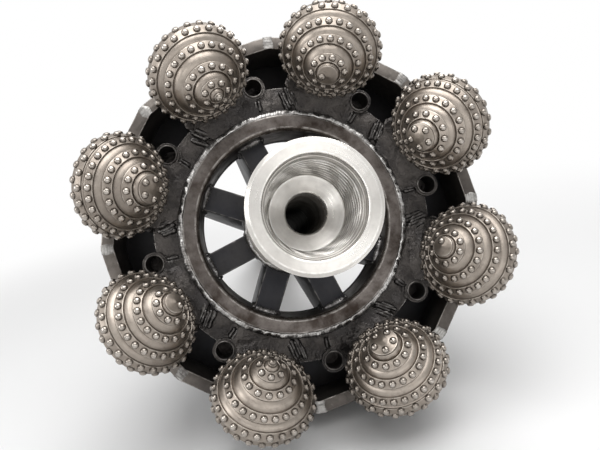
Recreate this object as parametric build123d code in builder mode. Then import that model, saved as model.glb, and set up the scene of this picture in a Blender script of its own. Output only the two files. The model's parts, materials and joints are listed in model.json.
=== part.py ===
"""Rock reamer: a ring of eight free-turning roller cones on a welded body, on a hollow shaft.

The pieces are modelled in the tool's own frame: Z along the shaft towards the cones, X and Y across
it, Z = 0 at the plane through the cone centres. PARKED then lays the whole tool down as it lies on
a floor, on the rear edges of its two lowest legs and on the shoulder of its tail.
"""

import os
from collections import namedtuple
from math import asin, atan2, cos, degrees, pi, radians, sin

from build123d import *

# Driving dimensions, in millimetres and degrees
CUTTER_COUNT = 8
CUTTER_PITCH = 360 / CUTTER_COUNT
FIRST_CUTTER = CUTTER_PITCH / 2

# Shaft, from the front: box shaft, hub, pin shaft
SHAFT_RADIUS = 101.6
HUB_RADIUS = 106.0
WATER_BORE_RADIUS = 34.0
BOX_FACE_Z = 350.0
HUB_FRONT_Z = -140.0
HUB_REAR_Z = -705.0
TAIL_SHOULDER_Z = -1400.0
SHOULDER_BEVEL = 6.0
THREAD_TAPER = 1 / 12
BOX_BORE_RADIUS = 77.0
BOX_BORE_DEPTH = 16.0
BOX_THREAD_RADIUS = 74.5
BOX_DEPTH = 143.0
BOX_FLOOR_RADIUS = 62.0
BOX_FLOOR_DROP = 12.0
PIN_LENGTH = 127.0
PIN_BASE_RADIUS = 76.0
PIN_RELIEF_RADIUS = 73.0
PIN_RELIEF_LENGTH = 14.0
PIN_NOSE_CHAMFER = 5.0

# Cutters: each cone turns on a journal that leans inwards and forwards
CUTTER_RADIUS = 356.0
JOURNAL_LEAN = 48.0
CONE_BACK = -23.0
CONE_BACK_RADIUS = 79.5
CONE_SHOULDER = -3.0
CONE_SHOULDER_RADIUS = 101.5
BEARING_RADIUS = 52.0
BEARING_END = 45.0
PILOT_RADIUS = 26.0
PILOT_END = 75.0
BEARING_CLEARANCE = 0.3
BACK_GAP = 5.0

# Rows of carbide inserts on a cone, from its gauge to its nose: place along the axis, radius of the
# seat, lean of the insert from the axis, half width of the land, count, projection, height of the land
# above the grooves beside it, turn in insert pitches. The gauge row stands between the heel row's inserts
Row = namedtuple("Row", "name place radius lean half_land count projection height turn")
GAUGE_ROW = Row("gauge", 1.0, 101.0, 96.0, 0.0, 0, 5.5, 0.0, 0.5)

# The three kinds of cone, whose rows mesh with one another's, each with the outline of its nose as
# (radius, place along the axis)
Kind = namedtuple("Kind", "rows nose")
KINDS = {
    "dome": Kind(
        [
            Row("heel", 14.0, 99.5, 72.0, 6.5, 22, 6.5, 2.5, 0.0),
            Row("outer", 31.0, 89.0, 57.0, 8.5, 27, 7.0, 3.5, 0.7),
            Row("middle", 56.0, 66.0, 48.0, 9.5, 20, 7.0, 4.0, 0.3),
            Row("inner", 80.5, 41.5, 42.0, 9.5, 12, 7.0, 4.0, 0.6),
            Row("nose", 102.0, 19.5, 16.0, 9.0, 5, 6.0, 4.0, 0.2),
        ],
        [(0.0, 106.0)],
    ),
    "cap": Kind(
        [
            Row("heel", 15.0, 99.0, 70.0, 7.5, 25, 6.5, 3.0, 0.0),
            Row("outer", 40.0, 80.5, 53.0, 9.0, 25, 7.0, 4.0, 0.4),
            Row("middle", 65.0, 57.0, 45.0, 9.0, 18, 7.0, 4.0, 0.1),
            Row("inner", 90.0, 31.0, 40.0, 8.5, 10, 7.0, 3.5, 0.7),
            Row("cap", 104.5, 10.5, 14.0, 10.0, 1, 6.0, 3.0, 0.3),
        ],
        [(0.0, 107.0)],
    ),
    "spear": Kind(
        [
            Row("heel", 19.0, 97.5, 64.0, 9.0, 26, 7.0, 3.5, 0.0),
            Row("outer", 45.0, 76.0, 52.0, 9.5, 23, 7.0, 4.0, 0.5),
            Row("inner", 75.0, 47.0, 44.0, 9.5, 14, 7.0, 4.0, 0.2),
            Row("nose", 98.0, 22.5, 38.0, 9.0, 7, 7.0, 2.5, 0.6),
            Row("tip", 113.0, 0.0, 0.0, 8.5, 1, 6.0, 5.0, 0.0),
        ],
        [(0.0, 113.0)],
    ),
}
INSERT_RADIUS = 7.4
INSERT_CROWN_RADIUS = 4.2
INSERT_SINK = 4.5
INSERT_SIDES = 6
GROOVE_SAG = 0.1

# Welded body, its radii measured from the circle of the cutters
RING_SETBACK = 116.0
RING_WALL = 36.0
RING_FRONT_Z = -105.0
RING_REAR_Z = -220.0
RING_BEVEL = 6.0
LEG_REACH = 68.0
RIM_SETBACK = 12.0
RIM_THICKNESS = 27.0
RIM_LAG = 3.3
RIM_FRONT_Z = -95.0
BACK_PLATE_SETBACK = 16.0
BACK_PLATE_THICKNESS = 25.0
WEB_REACH = 64.0
WEB_FRONT_Z = -124.0
WEB_THICKNESS = 30.0
ARM_THICKNESS = 56.0
ARM_LAG = 6.0
ARM_FRONT_Z = -148.0
ARM_REAR_Z = -690.0
ARM_TIP_SETBACK = 16.0
ARM_TIP_DEPTH = 30.0
ARM_TOE_HEIGHT = 24.0

# Legs that carry the journals, each with the boss of a jet nozzle on its trailing side, and on its
# outside the cap of its grease reservoir and the plug of its bearing's ball race
LEG_FRONT_Z = -118.0
LEG_HALF_WIDTH = 68.0
LEG_SHOULDER_SETBACK = 79.0
LEG_WAIST = 78.0
LEG_ROOT_LEADING = 34.0
LEG_ROOT_TRAILING = -72.0
NOZZLE_SETBACK = 44.0
NOZZLE_LAG = 17.5
NOZZLE_BOSS_RADIUS = 26.0
NOZZLE_SLEEVE_RADIUS = 21.5
NOZZLE_BORE_RADIUS = 18.5
NOZZLE_DEPTH = 70.0
NOZZLE_PROUD = 3.0
NOZZLE_FIT = 0.05
CAP_RADIUS = 29.0
CAP_Z = -140.0
PLUG_RADIUS = 13.0
PLUG_Z = -61.0
SEAM_WIDTH = 3.0
SEAM_DEPTH = 4.0

# Each cutter's number, the kind of its cone and how far the cone is turned on its journal
Cutter = namedtuple("Cutter", "number kind spin")
CUTTERS = [
    Cutter(1, "dome", 0),
    Cutter(2, "cap", 7),
    Cutter(3, "spear", 19),
    Cutter(4, "dome", 31),
    Cutter(5, "cap", 11),
    Cutter(6, "spear", 26),
    Cutter(7, "dome", 38),
    Cutter(8, "cap", 3),
]

# Places that follow from the sizes above
RING_OUTER_RADIUS = CUTTER_RADIUS - RING_SETBACK
RING_INNER_RADIUS = RING_OUTER_RADIUS - RING_WALL
LEG_RADIUS = CUTTER_RADIUS + LEG_REACH
RIM_CORNER_RADIUS = LEG_RADIUS - RIM_SETBACK
BACK_PLATE_RADIUS = RIM_CORNER_RADIUS - BACK_PLATE_SETBACK
BACK_PLATE_REAR_Z = RING_REAR_Z - BACK_PLATE_THICKNESS
WEB_RADIUS = RING_OUTER_RADIUS + WEB_REACH
ARM_TIP_RADIUS = BACK_PLATE_RADIUS - ARM_TIP_SETBACK
LEG_SHOULDER_RADIUS = LEG_RADIUS - LEG_SHOULDER_SETBACK
NOZZLE_RADIUS = CUTTER_RADIUS - NOZZLE_SETBACK
NOZZLE_X = NOZZLE_RADIUS * cos(radians(NOZZLE_LAG))
NOZZLE_Y = -NOZZLE_RADIUS * sin(radians(NOZZLE_LAG))
PIN_END_Z = TAIL_SHOULDER_Z - PIN_LENGTH
PIN_END_RADIUS = PIN_BASE_RADIUS - PIN_LENGTH * THREAD_TAPER
BOX_THREAD_END_RADIUS = BOX_THREAD_RADIUS - (BOX_DEPTH - BOX_BORE_DEPTH) * THREAD_TAPER
LEAN_SIN = sin(radians(JOURNAL_LEAN))
LEAN_COS = cos(radians(JOURNAL_LEAN))
JOURNAL = Plane((CUTTER_RADIUS, 0, 0), (LEAN_COS, 0, LEAN_SIN), (-LEAN_SIN, 0, LEAN_COS))
THRUST_FACE = CONE_BACK - BACK_GAP


def parked() -> Location:
    """Give the place of the tool's frame when it rests on two legs and its tail shoulder."""
    foot_turn = radians(CUTTER_PITCH / 2) - asin(LEG_HALF_WIDTH / LEG_RADIUS)
    foot_drop = LEG_RADIUS * cos(foot_turn)
    slope = atan2(foot_drop - SHAFT_RADIUS, RING_REAR_Z - TAIL_SHOULDER_Z)
    height = foot_drop * cos(slope) - RING_REAR_Z * sin(slope)
    front = -BOX_FACE_Z * cos(slope) - (SHAFT_RADIUS - SHOULDER_BEVEL) * sin(slope)
    rear = -PIN_END_Z * cos(slope) + (PIN_END_RADIUS - PIN_NOSE_CHAMFER) * sin(slope)
    return Location((0, -(front + rear) / 2, height), (90 - degrees(slope), 0, 0))


def section_point(along: float, across: float) -> tuple[float, float]:
    """Turn a point along and across a journal into radius and height in the tool's frame."""
    return (
        CUTTER_RADIUS - along * LEAN_SIN + across * LEAN_COS,
        along * LEAN_COS + across * LEAN_SIN,
    )


def turned(*outline: tuple[float, float]) -> Part:
    """Turn an outline of (radius, height) points about the tool's axis."""
    with BuildPart() as solid:
        with BuildSketch(Plane.XZ):
            Polygon(*outline, align=None)
        revolve(axis=Axis.Z)
    return solid.part


# Shaft
box_shaft = turned(
    (WATER_BORE_RADIUS, HUB_FRONT_Z),
    (SHAFT_RADIUS, HUB_FRONT_Z),
    (SHAFT_RADIUS, BOX_FACE_Z - SHOULDER_BEVEL),
    (SHAFT_RADIUS - SHOULDER_BEVEL, BOX_FACE_Z),
    (BOX_BORE_RADIUS, BOX_FACE_Z),
    (BOX_BORE_RADIUS, BOX_FACE_Z - BOX_BORE_DEPTH),
    (BOX_THREAD_RADIUS, BOX_FACE_Z - BOX_BORE_DEPTH),
    (BOX_THREAD_END_RADIUS, BOX_FACE_Z - BOX_DEPTH),
    (BOX_FLOOR_RADIUS, BOX_FACE_Z - BOX_DEPTH),
    (WATER_BORE_RADIUS, BOX_FACE_Z - BOX_DEPTH - BOX_FLOOR_DROP),
)
hub = turned(
    (WATER_BORE_RADIUS, HUB_REAR_Z),
    (HUB_RADIUS, HUB_REAR_Z),
    (HUB_RADIUS, HUB_FRONT_Z),
    (WATER_BORE_RADIUS, HUB_FRONT_Z),
)
pin_shaft = turned(
    (WATER_BORE_RADIUS, PIN_END_Z),
    (PIN_END_RADIUS - PIN_NOSE_CHAMFER, PIN_END_Z),
    (PIN_END_RADIUS, PIN_END_Z + PIN_NOSE_CHAMFER),
    (PIN_BASE_RADIUS - PIN_RELIEF_LENGTH * THREAD_TAPER, TAIL_SHOULDER_Z - PIN_RELIEF_LENGTH),
    (PIN_RELIEF_RADIUS, TAIL_SHOULDER_Z - PIN_RELIEF_LENGTH),
    (PIN_RELIEF_RADIUS, TAIL_SHOULDER_Z),
    (SHAFT_RADIUS, TAIL_SHOULDER_Z),
    (SHAFT_RADIUS, HUB_REAR_Z),
    (WATER_BORE_RADIUS, HUB_REAR_Z),
)

# Ring that ties the legs to the arms, and the plate that closes the body behind
hub_ring = turned(
    (RING_INNER_RADIUS, RING_REAR_Z),
    (RING_OUTER_RADIUS, RING_REAR_Z),
    (RING_OUTER_RADIUS, RING_FRONT_Z),
    (RING_INNER_RADIUS + RING_BEVEL, RING_FRONT_Z),
    (RING_INNER_RADIUS, RING_FRONT_Z - RING_BEVEL),
)
back_plate = turned(
    (RING_INNER_RADIUS, BACK_PLATE_REAR_Z),
    (BACK_PLATE_RADIUS, BACK_PLATE_REAR_Z),
    (BACK_PLATE_RADIUS, RING_REAR_Z),
    (RING_INNER_RADIUS, RING_REAR_Z),
)

# Arm: a spoke inside the ring and, behind the back plate, a gusset that runs down to the hub
with BuildPart() as arm:
    with BuildSketch(Plane.XY.offset(BACK_PLATE_REAR_Z)):
        Rectangle(RING_OUTER_RADIUS, ARM_THICKNESS, align=(Align.MIN, Align.CENTER))
        Circle(RING_INNER_RADIUS, mode=Mode.INTERSECT)
    extrude(amount=ARM_FRONT_Z - BACK_PLATE_REAR_Z)
    with BuildSketch(Plane.XZ):
        Polygon(
            (0, BACK_PLATE_REAR_Z),
            (ARM_TIP_RADIUS, BACK_PLATE_REAR_Z),
            (ARM_TIP_RADIUS, BACK_PLATE_REAR_Z - ARM_TIP_DEPTH),
            (HUB_RADIUS + ARM_TOE_HEIGHT, ARM_REAR_Z),
            (0, ARM_REAR_Z),
            align=None,
        )
    extrude(amount=ARM_THICKNESS / 2, both=True)
    with BuildSketch(Plane.XY.offset(ARM_REAR_Z)):
        Circle(HUB_RADIUS)
    extrude(amount=ARM_FRONT_Z - ARM_REAR_Z, mode=Mode.SUBTRACT)

# The leg's outline from the front, shared by the leg and by the plates that butt against it
with BuildSketch() as leg_outline:
    Polygon(
        (0, LEG_ROOT_TRAILING),
        (RING_OUTER_RADIUS, LEG_ROOT_TRAILING),
        (NOZZLE_X, NOZZLE_Y),
        (LEG_SHOULDER_RADIUS, -LEG_HALF_WIDTH),
        (LEG_RADIUS, -LEG_HALF_WIDTH),
        (LEG_RADIUS, LEG_HALF_WIDTH),
        (LEG_SHOULDER_RADIUS, LEG_HALF_WIDTH),
        (WEB_RADIUS, LEG_WAIST),
        (RING_OUTER_RADIUS, LEG_ROOT_LEADING),
        (0, LEG_ROOT_LEADING),
        align=None,
    )
    with Locations((NOZZLE_X, NOZZLE_Y)):
        Circle(NOZZLE_BOSS_RADIUS)

# Leg: its thrust face stands square to the journal that it carries, and its tip is round about it
thrust_root = (LEG_FRONT_Z - THRUST_FACE * LEAN_COS) / LEAN_SIN
thrust_tip = section_point(THRUST_FACE, LEG_HALF_WIDTH)
with BuildPart() as leg:
    with BuildSketch(Plane.XY.offset(RING_REAR_Z)):
        Circle(LEG_RADIUS)
    extrude(amount=LEG_FRONT_Z - RING_REAR_Z)
    with BuildSketch(Plane.XZ):
        Polygon(
            (0, RING_REAR_Z),
            (LEG_RADIUS, RING_REAR_Z),
            (LEG_RADIUS, thrust_tip[1]),
            thrust_tip,
            section_point(THRUST_FACE, thrust_root),
            (0, LEG_FRONT_Z),
            align=None,
        )
    extrude(amount=LEG_HALF_WIDTH, both=True)
    with BuildSketch(JOURNAL):
        Circle(LEG_HALF_WIDTH)
        Rectangle(LEG_RADIUS, 2 * LEG_RADIUS, align=(Align.MAX, Align.CENTER))
    extrude(amount=LEG_RADIUS, both=True, mode=Mode.INTERSECT)
    with BuildSketch(Plane.XY.offset(RING_REAR_Z)):
        add(leg_outline.sketch)
        Circle(LEG_RADIUS, mode=Mode.INTERSECT)
        Circle(RING_OUTER_RADIUS, mode=Mode.SUBTRACT)
    extrude(amount=CUTTER_RADIUS, mode=Mode.INTERSECT)
    with BuildSketch(JOURNAL.offset(THRUST_FACE - BACK_GAP)):
        Circle(BEARING_RADIUS - BEARING_CLEARANCE)
    extrude(amount=BEARING_END - BEARING_CLEARANCE - THRUST_FACE + BACK_GAP)
    with BuildSketch(JOURNAL.offset(BEARING_END - BACK_GAP)):
        Circle(PILOT_RADIUS - BEARING_CLEARANCE)
    extrude(amount=PILOT_END - BEARING_CLEARANCE - BEARING_END + BACK_GAP)
    with BuildSketch(Plane.XY.offset(LEG_FRONT_Z)):
        with Locations((NOZZLE_X, NOZZLE_Y)):
            Circle(NOZZLE_SLEEVE_RADIUS + NOZZLE_FIT)
    extrude(amount=-NOZZLE_DEPTH, mode=Mode.SUBTRACT)
    with BuildSketch(Plane((LEG_RADIUS, 0, 0), (0, 1, 0), (1, 0, 0))):
        for radius, place in [(CAP_RADIUS, CAP_Z), (PLUG_RADIUS, PLUG_Z)]:
            with Locations((0, place)):
                Circle(radius + SEAM_WIDTH)
                Circle(radius, mode=Mode.SUBTRACT)
    extrude(amount=-SEAM_DEPTH, mode=Mode.SUBTRACT)

# Nozzle sleeve, pressed into the leg's boss
with BuildPart() as nozzle:
    with BuildSketch(Plane.XY.offset(LEG_FRONT_Z + NOZZLE_PROUD)):
        with Locations((NOZZLE_X, NOZZLE_Y)):
            Circle(NOZZLE_SLEEVE_RADIUS)
            Circle(NOZZLE_BORE_RADIUS, mode=Mode.SUBTRACT)
    extrude(amount=-NOZZLE_DEPTH - NOZZLE_PROUD)


# The bands that the plates between the legs are cut from: a ring for the webs, and for the rim a band
# with a corner near the middle of each gap
with BuildSketch() as web_band:
    Circle(WEB_RADIUS)
    Circle(RING_OUTER_RADIUS, mode=Mode.SUBTRACT)
with BuildSketch() as rim_band:
    RegularPolygon(RIM_CORNER_RADIUS, 2 * CUTTER_COUNT, rotation=-RIM_LAG)
    RegularPolygon(
        RIM_CORNER_RADIUS - RIM_THICKNESS, 2 * CUTTER_COUNT, rotation=-RIM_LAG, mode=Mode.SUBTRACT
    )


def gap_plate(band: Sketch, front: float, rear: float) -> Part:
    """Build the plate that a band leaves between one leg and the next."""
    with BuildPart() as plate:
        with BuildSketch(Plane.XY.offset(rear)):
            Polygon((0, 0), (2 * LEG_RADIUS, 0), (2 * LEG_RADIUS, 2 * LEG_RADIUS), align=None)
            add(band, mode=Mode.INTERSECT)
            add(leg_outline.sketch, mode=Mode.SUBTRACT)
            add(leg_outline.sketch, rotation=CUTTER_PITCH, mode=Mode.SUBTRACT)
        extrude(amount=front - rear)
    return plate.part


web = gap_plate(web_band.sketch, WEB_FRONT_Z, WEB_FRONT_Z - WEB_THICKNESS)
rim = gap_plate(rim_band.sketch, RIM_FRONT_Z, RING_REAR_Z)


def land_end(row: Row, side: int) -> tuple[float, float]:
    """Give the outer (-1) or inner (+1) end of a row's land as radius and height."""
    lean = radians(row.lean)
    return (
        row.radius - side * row.half_land * cos(lean),
        row.place + side * row.half_land * sin(lean),
    )


def land_foot(row: Row, side: int) -> tuple[float, float]:
    """Give the foot of the wall at one end of a row's land, square to the land."""
    lean = radians(row.lean)
    radius, place = land_end(row, side)
    return (radius - row.height * sin(lean), place - row.height * cos(lean))


def hollow(start: tuple[float, float], end: tuple[float, float]) -> tuple[float, float]:
    """Give the middle of the shallow arc of a groove between the feet of two lands."""
    chord = Vector(*end) - Vector(*start)
    middle = Vector(*start) + chord / 2 + Vector(-chord.Y, chord.X) * -GROOVE_SAG
    return (middle.X, middle.Y)


def row_inserts(row: Row) -> list[Part]:
    """Build the inserts of one row, seated square to the land."""
    lean = radians(row.lean)
    with BuildPart() as insert:
        with BuildSketch(Plane.XY.offset(-INSERT_SINK)):
            RegularPolygon(INSERT_RADIUS, INSERT_SIDES)
        with BuildSketch(Plane.XY.offset(row.projection)):
            RegularPolygon(INSERT_CROWN_RADIUS, INSERT_SIDES)
        loft(ruled=True)
    seats = []
    for index in range(row.count):
        around = 2 * pi * (index + row.turn) / row.count
        outwards = Vector(cos(around), sin(around), 0)
        across = Vector(-sin(around), cos(around), 0)
        facing = outwards * sin(lean) + Vector(0, 0, cos(lean))
        seats.append(Plane(outwards * row.radius + Vector(0, 0, row.place), across, facing))
    return [seat.location * insert.part for seat in seats]


def roller_cone(kind: Kind) -> Part:
    """Build a cone, hollow over its journal, with a groove between the raised lands of its rows."""
    with BuildPart() as cone:
        with BuildSketch(Plane.XZ):
            with BuildLine():
                Polyline(
                    (0, kind.nose[-1][1]),
                    (0, PILOT_END),
                    (PILOT_RADIUS, PILOT_END),
                    (PILOT_RADIUS, BEARING_END),
                    (BEARING_RADIUS, BEARING_END),
                    (BEARING_RADIUS, CONE_BACK),
                    (CONE_BACK_RADIUS, CONE_BACK),
                    (CONE_SHOULDER_RADIUS, CONE_SHOULDER),
                    land_end(kind.rows[0], -1),
                    land_end(kind.rows[0], 1),
                )
                for outside, inside in zip(kind.rows, kind.rows[1:]):
                    start, end = land_foot(outside, 1), land_foot(inside, -1)
                    Line(land_end(outside, 1), start)
                    ThreePointArc(start, hollow(start, end), end)
                    Line(end, land_end(inside, -1))
                    if inside.radius > 0:
                        Line(land_end(inside, -1), land_end(inside, 1))
                last = kind.rows[-1]
                Polyline(land_end(last, 1 if last.radius > 0 else -1), *kind.nose)
            make_face()
        revolve(axis=Axis.Z)
        gauge = GAUGE_ROW._replace(count=kind.rows[0].count)
        add([stud for row in [gauge, *kind.rows] for stud in row_inserts(row)])
    return cone.part


cones = {name: roller_cone(kind) for name, kind in KINDS.items()}

PARKED = parked()
os.makedirs("parts", exist_ok=True)


def keep(name: str, *solids: Part) -> None:
    """Lay a piece down with the parked tool, name it and write it out."""
    with BuildPart() as piece:
        add([PARKED * solid for solid in solids])
    piece.part.label = name
    export_step(piece.part, f"parts/{name}.step")


keep("box_shaft", box_shaft)
keep("hub", hub)
keep("pin_shaft", pin_shaft)
keep("hub_ring", hub_ring)
keep("back_plate", back_plate)

turns = {cutter: FIRST_CUTTER + CUTTER_PITCH * (cutter.number - 1) for cutter in CUTTERS}
keep("webs", *[Rotation(0, 0, turn) * web for turn in turns.values()])
keep("nozzles", *[Rotation(0, 0, turn) * nozzle.part for turn in turns.values()])
for cutter, turn in turns.items():
    keep(f"arm_{cutter.number}", Rotation(0, 0, turn - ARM_LAG) * arm.part)
    keep(f"rim_{cutter.number}", Rotation(0, 0, turn) * rim)
    keep(f"leg_{cutter.number}", Rotation(0, 0, turn) * leg.part)
    spun = JOURNAL.location * Rotation(0, 0, cutter.spin) * cones[cutter.kind]
    keep(f"cone_{cutter.number}", Rotation(0, 0, turn) * spun)
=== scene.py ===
"""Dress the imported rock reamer: studded cones, machined joints, welded body and worn steel.

Shapes are worked out in the tool's own frame, in millimetres: X to the right, Y up and Z along the
shaft towards the box end, with Z = 0 at the plane through the cone centres. ToolFrame then places
them in the row's frame, in metres.
"""

from __future__ import annotations

import json
import logging
from dataclasses import dataclass, field, replace
from enum import Enum
from math import cos, pi, radians, sin
from typing import Any, Iterable

import bmesh
import bpy
import numpy as np
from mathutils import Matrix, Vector

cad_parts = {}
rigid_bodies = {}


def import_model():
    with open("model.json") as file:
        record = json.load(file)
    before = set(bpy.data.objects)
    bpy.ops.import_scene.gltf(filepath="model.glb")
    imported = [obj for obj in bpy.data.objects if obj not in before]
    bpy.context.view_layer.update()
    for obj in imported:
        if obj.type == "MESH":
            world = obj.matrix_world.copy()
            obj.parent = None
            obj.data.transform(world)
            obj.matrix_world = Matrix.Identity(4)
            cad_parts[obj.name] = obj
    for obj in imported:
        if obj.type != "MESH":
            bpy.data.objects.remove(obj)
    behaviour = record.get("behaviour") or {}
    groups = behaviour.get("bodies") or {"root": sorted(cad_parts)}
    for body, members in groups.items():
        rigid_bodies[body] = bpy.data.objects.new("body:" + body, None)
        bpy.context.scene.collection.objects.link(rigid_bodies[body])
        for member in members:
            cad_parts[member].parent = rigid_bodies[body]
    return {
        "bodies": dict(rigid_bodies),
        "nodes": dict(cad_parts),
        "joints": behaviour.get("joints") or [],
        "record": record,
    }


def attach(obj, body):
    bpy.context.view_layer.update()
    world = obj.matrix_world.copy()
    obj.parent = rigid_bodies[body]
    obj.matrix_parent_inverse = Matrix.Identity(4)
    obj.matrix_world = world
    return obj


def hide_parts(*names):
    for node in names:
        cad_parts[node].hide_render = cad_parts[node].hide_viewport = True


LOG = logging.getLogger("rock_reamer")

Colour = tuple[float, float, float]
Point = tuple[float, float, float]
Corner = tuple[float, float]
Socket = bpy.types.NodeSocket
Tree = bpy.types.NodeTree

MM = 0.001
BODY = "body"
# The soot mask marks soot and painted shade in hollows and corners; the wear mask marks worn edges.
MASKS = ("wear", "soot")
UV_LAYER = "UVMap"

# Sizes that several sub-assemblies share
BOX_MOUNT = "box_counterbore"
BOX_MOUNT_Z = 342.0
CUTTER_COUNT = 8
CUTTERS = range(1, CUTTER_COUNT + 1)
CUTTER_PITCH = 360.0 / CUTTER_COUNT
FIRST_CUTTER = CUTTER_PITCH / 2
SHAFT_RADIUS = 101.6
HUB_RADIUS = 106.0
WATER_BORE_RADIUS = 34.0
HUB_FRONT_Z = -140.0
HUB_REAR_Z = -705.0
SHAFT_SEGMENTS = 144

# How meshes are merged and softened
MERGE_DISTANCE = 2e-6
NODE_MERGE_DISTANCE = 1e-5
FLAT_ANGLE = radians(1.5)
EDGE_ANGLE = radians(28)
SHARP_ANGLE = radians(38)
EDGE_STEPS = 2
EDGE_FULLNESS = 0.6

# How turned outlines are rounded and masked
CORNER_SHARE = 0.42
CURVE_STEPS = np.linspace(0.0, 1.0, 5)
SIDE_STEPS = np.array([0.08, 0.36, 0.64, 0.92])
FIRST_STEPS = np.array([0.0, 0.08, 0.5, 0.92])
POINT_SPACING = 0.4
MASK_GAIN = 1.6
# How the darkening of a hollow corner, soot and painted shade, spreads over the points beside it.
DIRT_AND_SHADE_STEPS = np.array([0.12, 0.3, 0.6, 1.0, 0.6, 0.3, 0.12])
DIRT_AND_SHADE_SPREAD = DIRT_AND_SHADE_STEPS / DIRT_AND_SHADE_STEPS[1:-1].sum()
ORIGIN = np.zeros(3)
IDENTITY = np.eye(3)


def unit(vectors: np.ndarray) -> np.ndarray:
    """Scale vectors to length one along their last axis."""
    return vectors / np.linalg.norm(vectors, axis=-1, keepdims=True)


def distances(points: np.ndarray) -> np.ndarray:
    """Give how far along a line of points each one lies, from the first."""
    return np.cumsum(np.linalg.norm(np.diff(points, axis=0, prepend=points[:1]), axis=1))


def turn_matrix(angle: float) -> np.ndarray:
    """Give the matrix that turns rows of coordinates about Z, by an angle in degrees."""
    c, s = np.cos(radians(angle)), np.sin(radians(angle))
    return np.array([[c, s, 0.0], [-s, c, 0.0], [0.0, 0.0, 1.0]])


def turned(points: np.ndarray, angle: float) -> np.ndarray:
    """Turn points about the tool's Z axis, by an angle in degrees."""
    return points @ turn_matrix(angle)


def cutter_angle(number: int) -> float:
    """Give the angle of a cutter about the shaft, in degrees, from its number."""
    return FIRST_CUTTER + CUTTER_PITCH * (number - 1)


def round_points(radius: np.ndarray, around: np.ndarray, place: np.ndarray) -> np.ndarray:
    """Give points about an axis: radius times cosine, radius times sine, place."""
    parts = np.broadcast_arrays(radius * np.cos(around), radius * np.sin(around), place)
    return np.stack(parts, axis=-1)


def texture_grid(across: np.ndarray, along: np.ndarray) -> np.ndarray:
    """Give a grid's texture coordinates from those of its columns and its rows."""
    return np.stack(np.meshgrid(across, along), axis=-1)


@dataclass(frozen=True)
class ToolFrame:
    """Where the tool's own frame lies in the row's frame.

    The axes are the rows right, up and front, and the origin is the middle of the cone circle.
    """

    origin: np.ndarray
    axes: np.ndarray

    @classmethod
    def from_record(cls, record: dict[str, Any]) -> ToolFrame:
        """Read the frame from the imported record's mount in the box end.

        Args:
            record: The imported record.

        Returns:
            The tool's frame.
        """
        mount = next(entry for entry in record["mounts"] if entry["name"] == BOX_MOUNT)
        front = unit(np.array(mount["axis"], dtype=float))
        right = np.array((1.0, 0.0, 0.0))
        axes = np.stack([right, np.cross(front, right), front])
        return cls(np.array(mount["pos_m"]) - front * BOX_MOUNT_Z * MM, axes)

    def place(self, points: np.ndarray) -> np.ndarray:
        """Give the row's coordinates, in metres, of points in the tool frame."""
        return self.origin + points @ self.axes * MM


@dataclass
class Patch:
    """A grid surface, or several copies of one, with its texture coordinates and masks.

    The points are copies x rows x columns x 3. The columns always close up, and the rows may. The
    texture coordinates have one more column, and one more row where the rows close.
    """

    points: np.ndarray
    uv: np.ndarray
    masks: dict[str, np.ndarray] = field(default_factory=dict)
    closed_rows: bool = False

    def cells(self) -> tuple[np.ndarray, np.ndarray]:
        """Give the rows and the columns at which the faces of one copy start."""
        rows, columns = self.points.shape[1:3]
        return np.arange(rows if self.closed_rows else rows - 1)[:, None], np.arange(columns)[None, :]

    def quads(self) -> np.ndarray:
        """Number the corners of every face.

        Returns:
            For each face the point (i, j), then its neighbours around the cell.
        """
        copies, rows, columns = self.points.shape[:3]
        i, j = self.cells()
        below, beside = (i + 1) % rows, (j + 1) % columns
        cell = [i * columns + j, i * columns + beside, below * columns + beside, below * columns + j]
        cells = np.stack(np.broadcast_arrays(*cell), axis=-1).reshape(-1, 4)
        return (np.arange(copies)[:, None, None] * rows * columns + cells).reshape(-1, 4)

    def corner_uv(self) -> np.ndarray:
        """Give the texture coordinates of every face's corners, in the order of quads().

        Returns:
            One row for each corner.
        """
        i, j = self.cells()
        corners = [self.uv[i, j], self.uv[i, j + 1], self.uv[i + 1, j + 1], self.uv[i + 1, j]]
        return np.tile(np.stack(corners, axis=2).reshape(-1, 2), (len(self.points), 1))

    def mask(self, name: str) -> np.ndarray:
        """Give one mask as a value per point, zero where the patch has none of that name."""
        return np.broadcast_to(self.masks.get(name, 0.0), self.points.shape[:3]).ravel()


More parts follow.
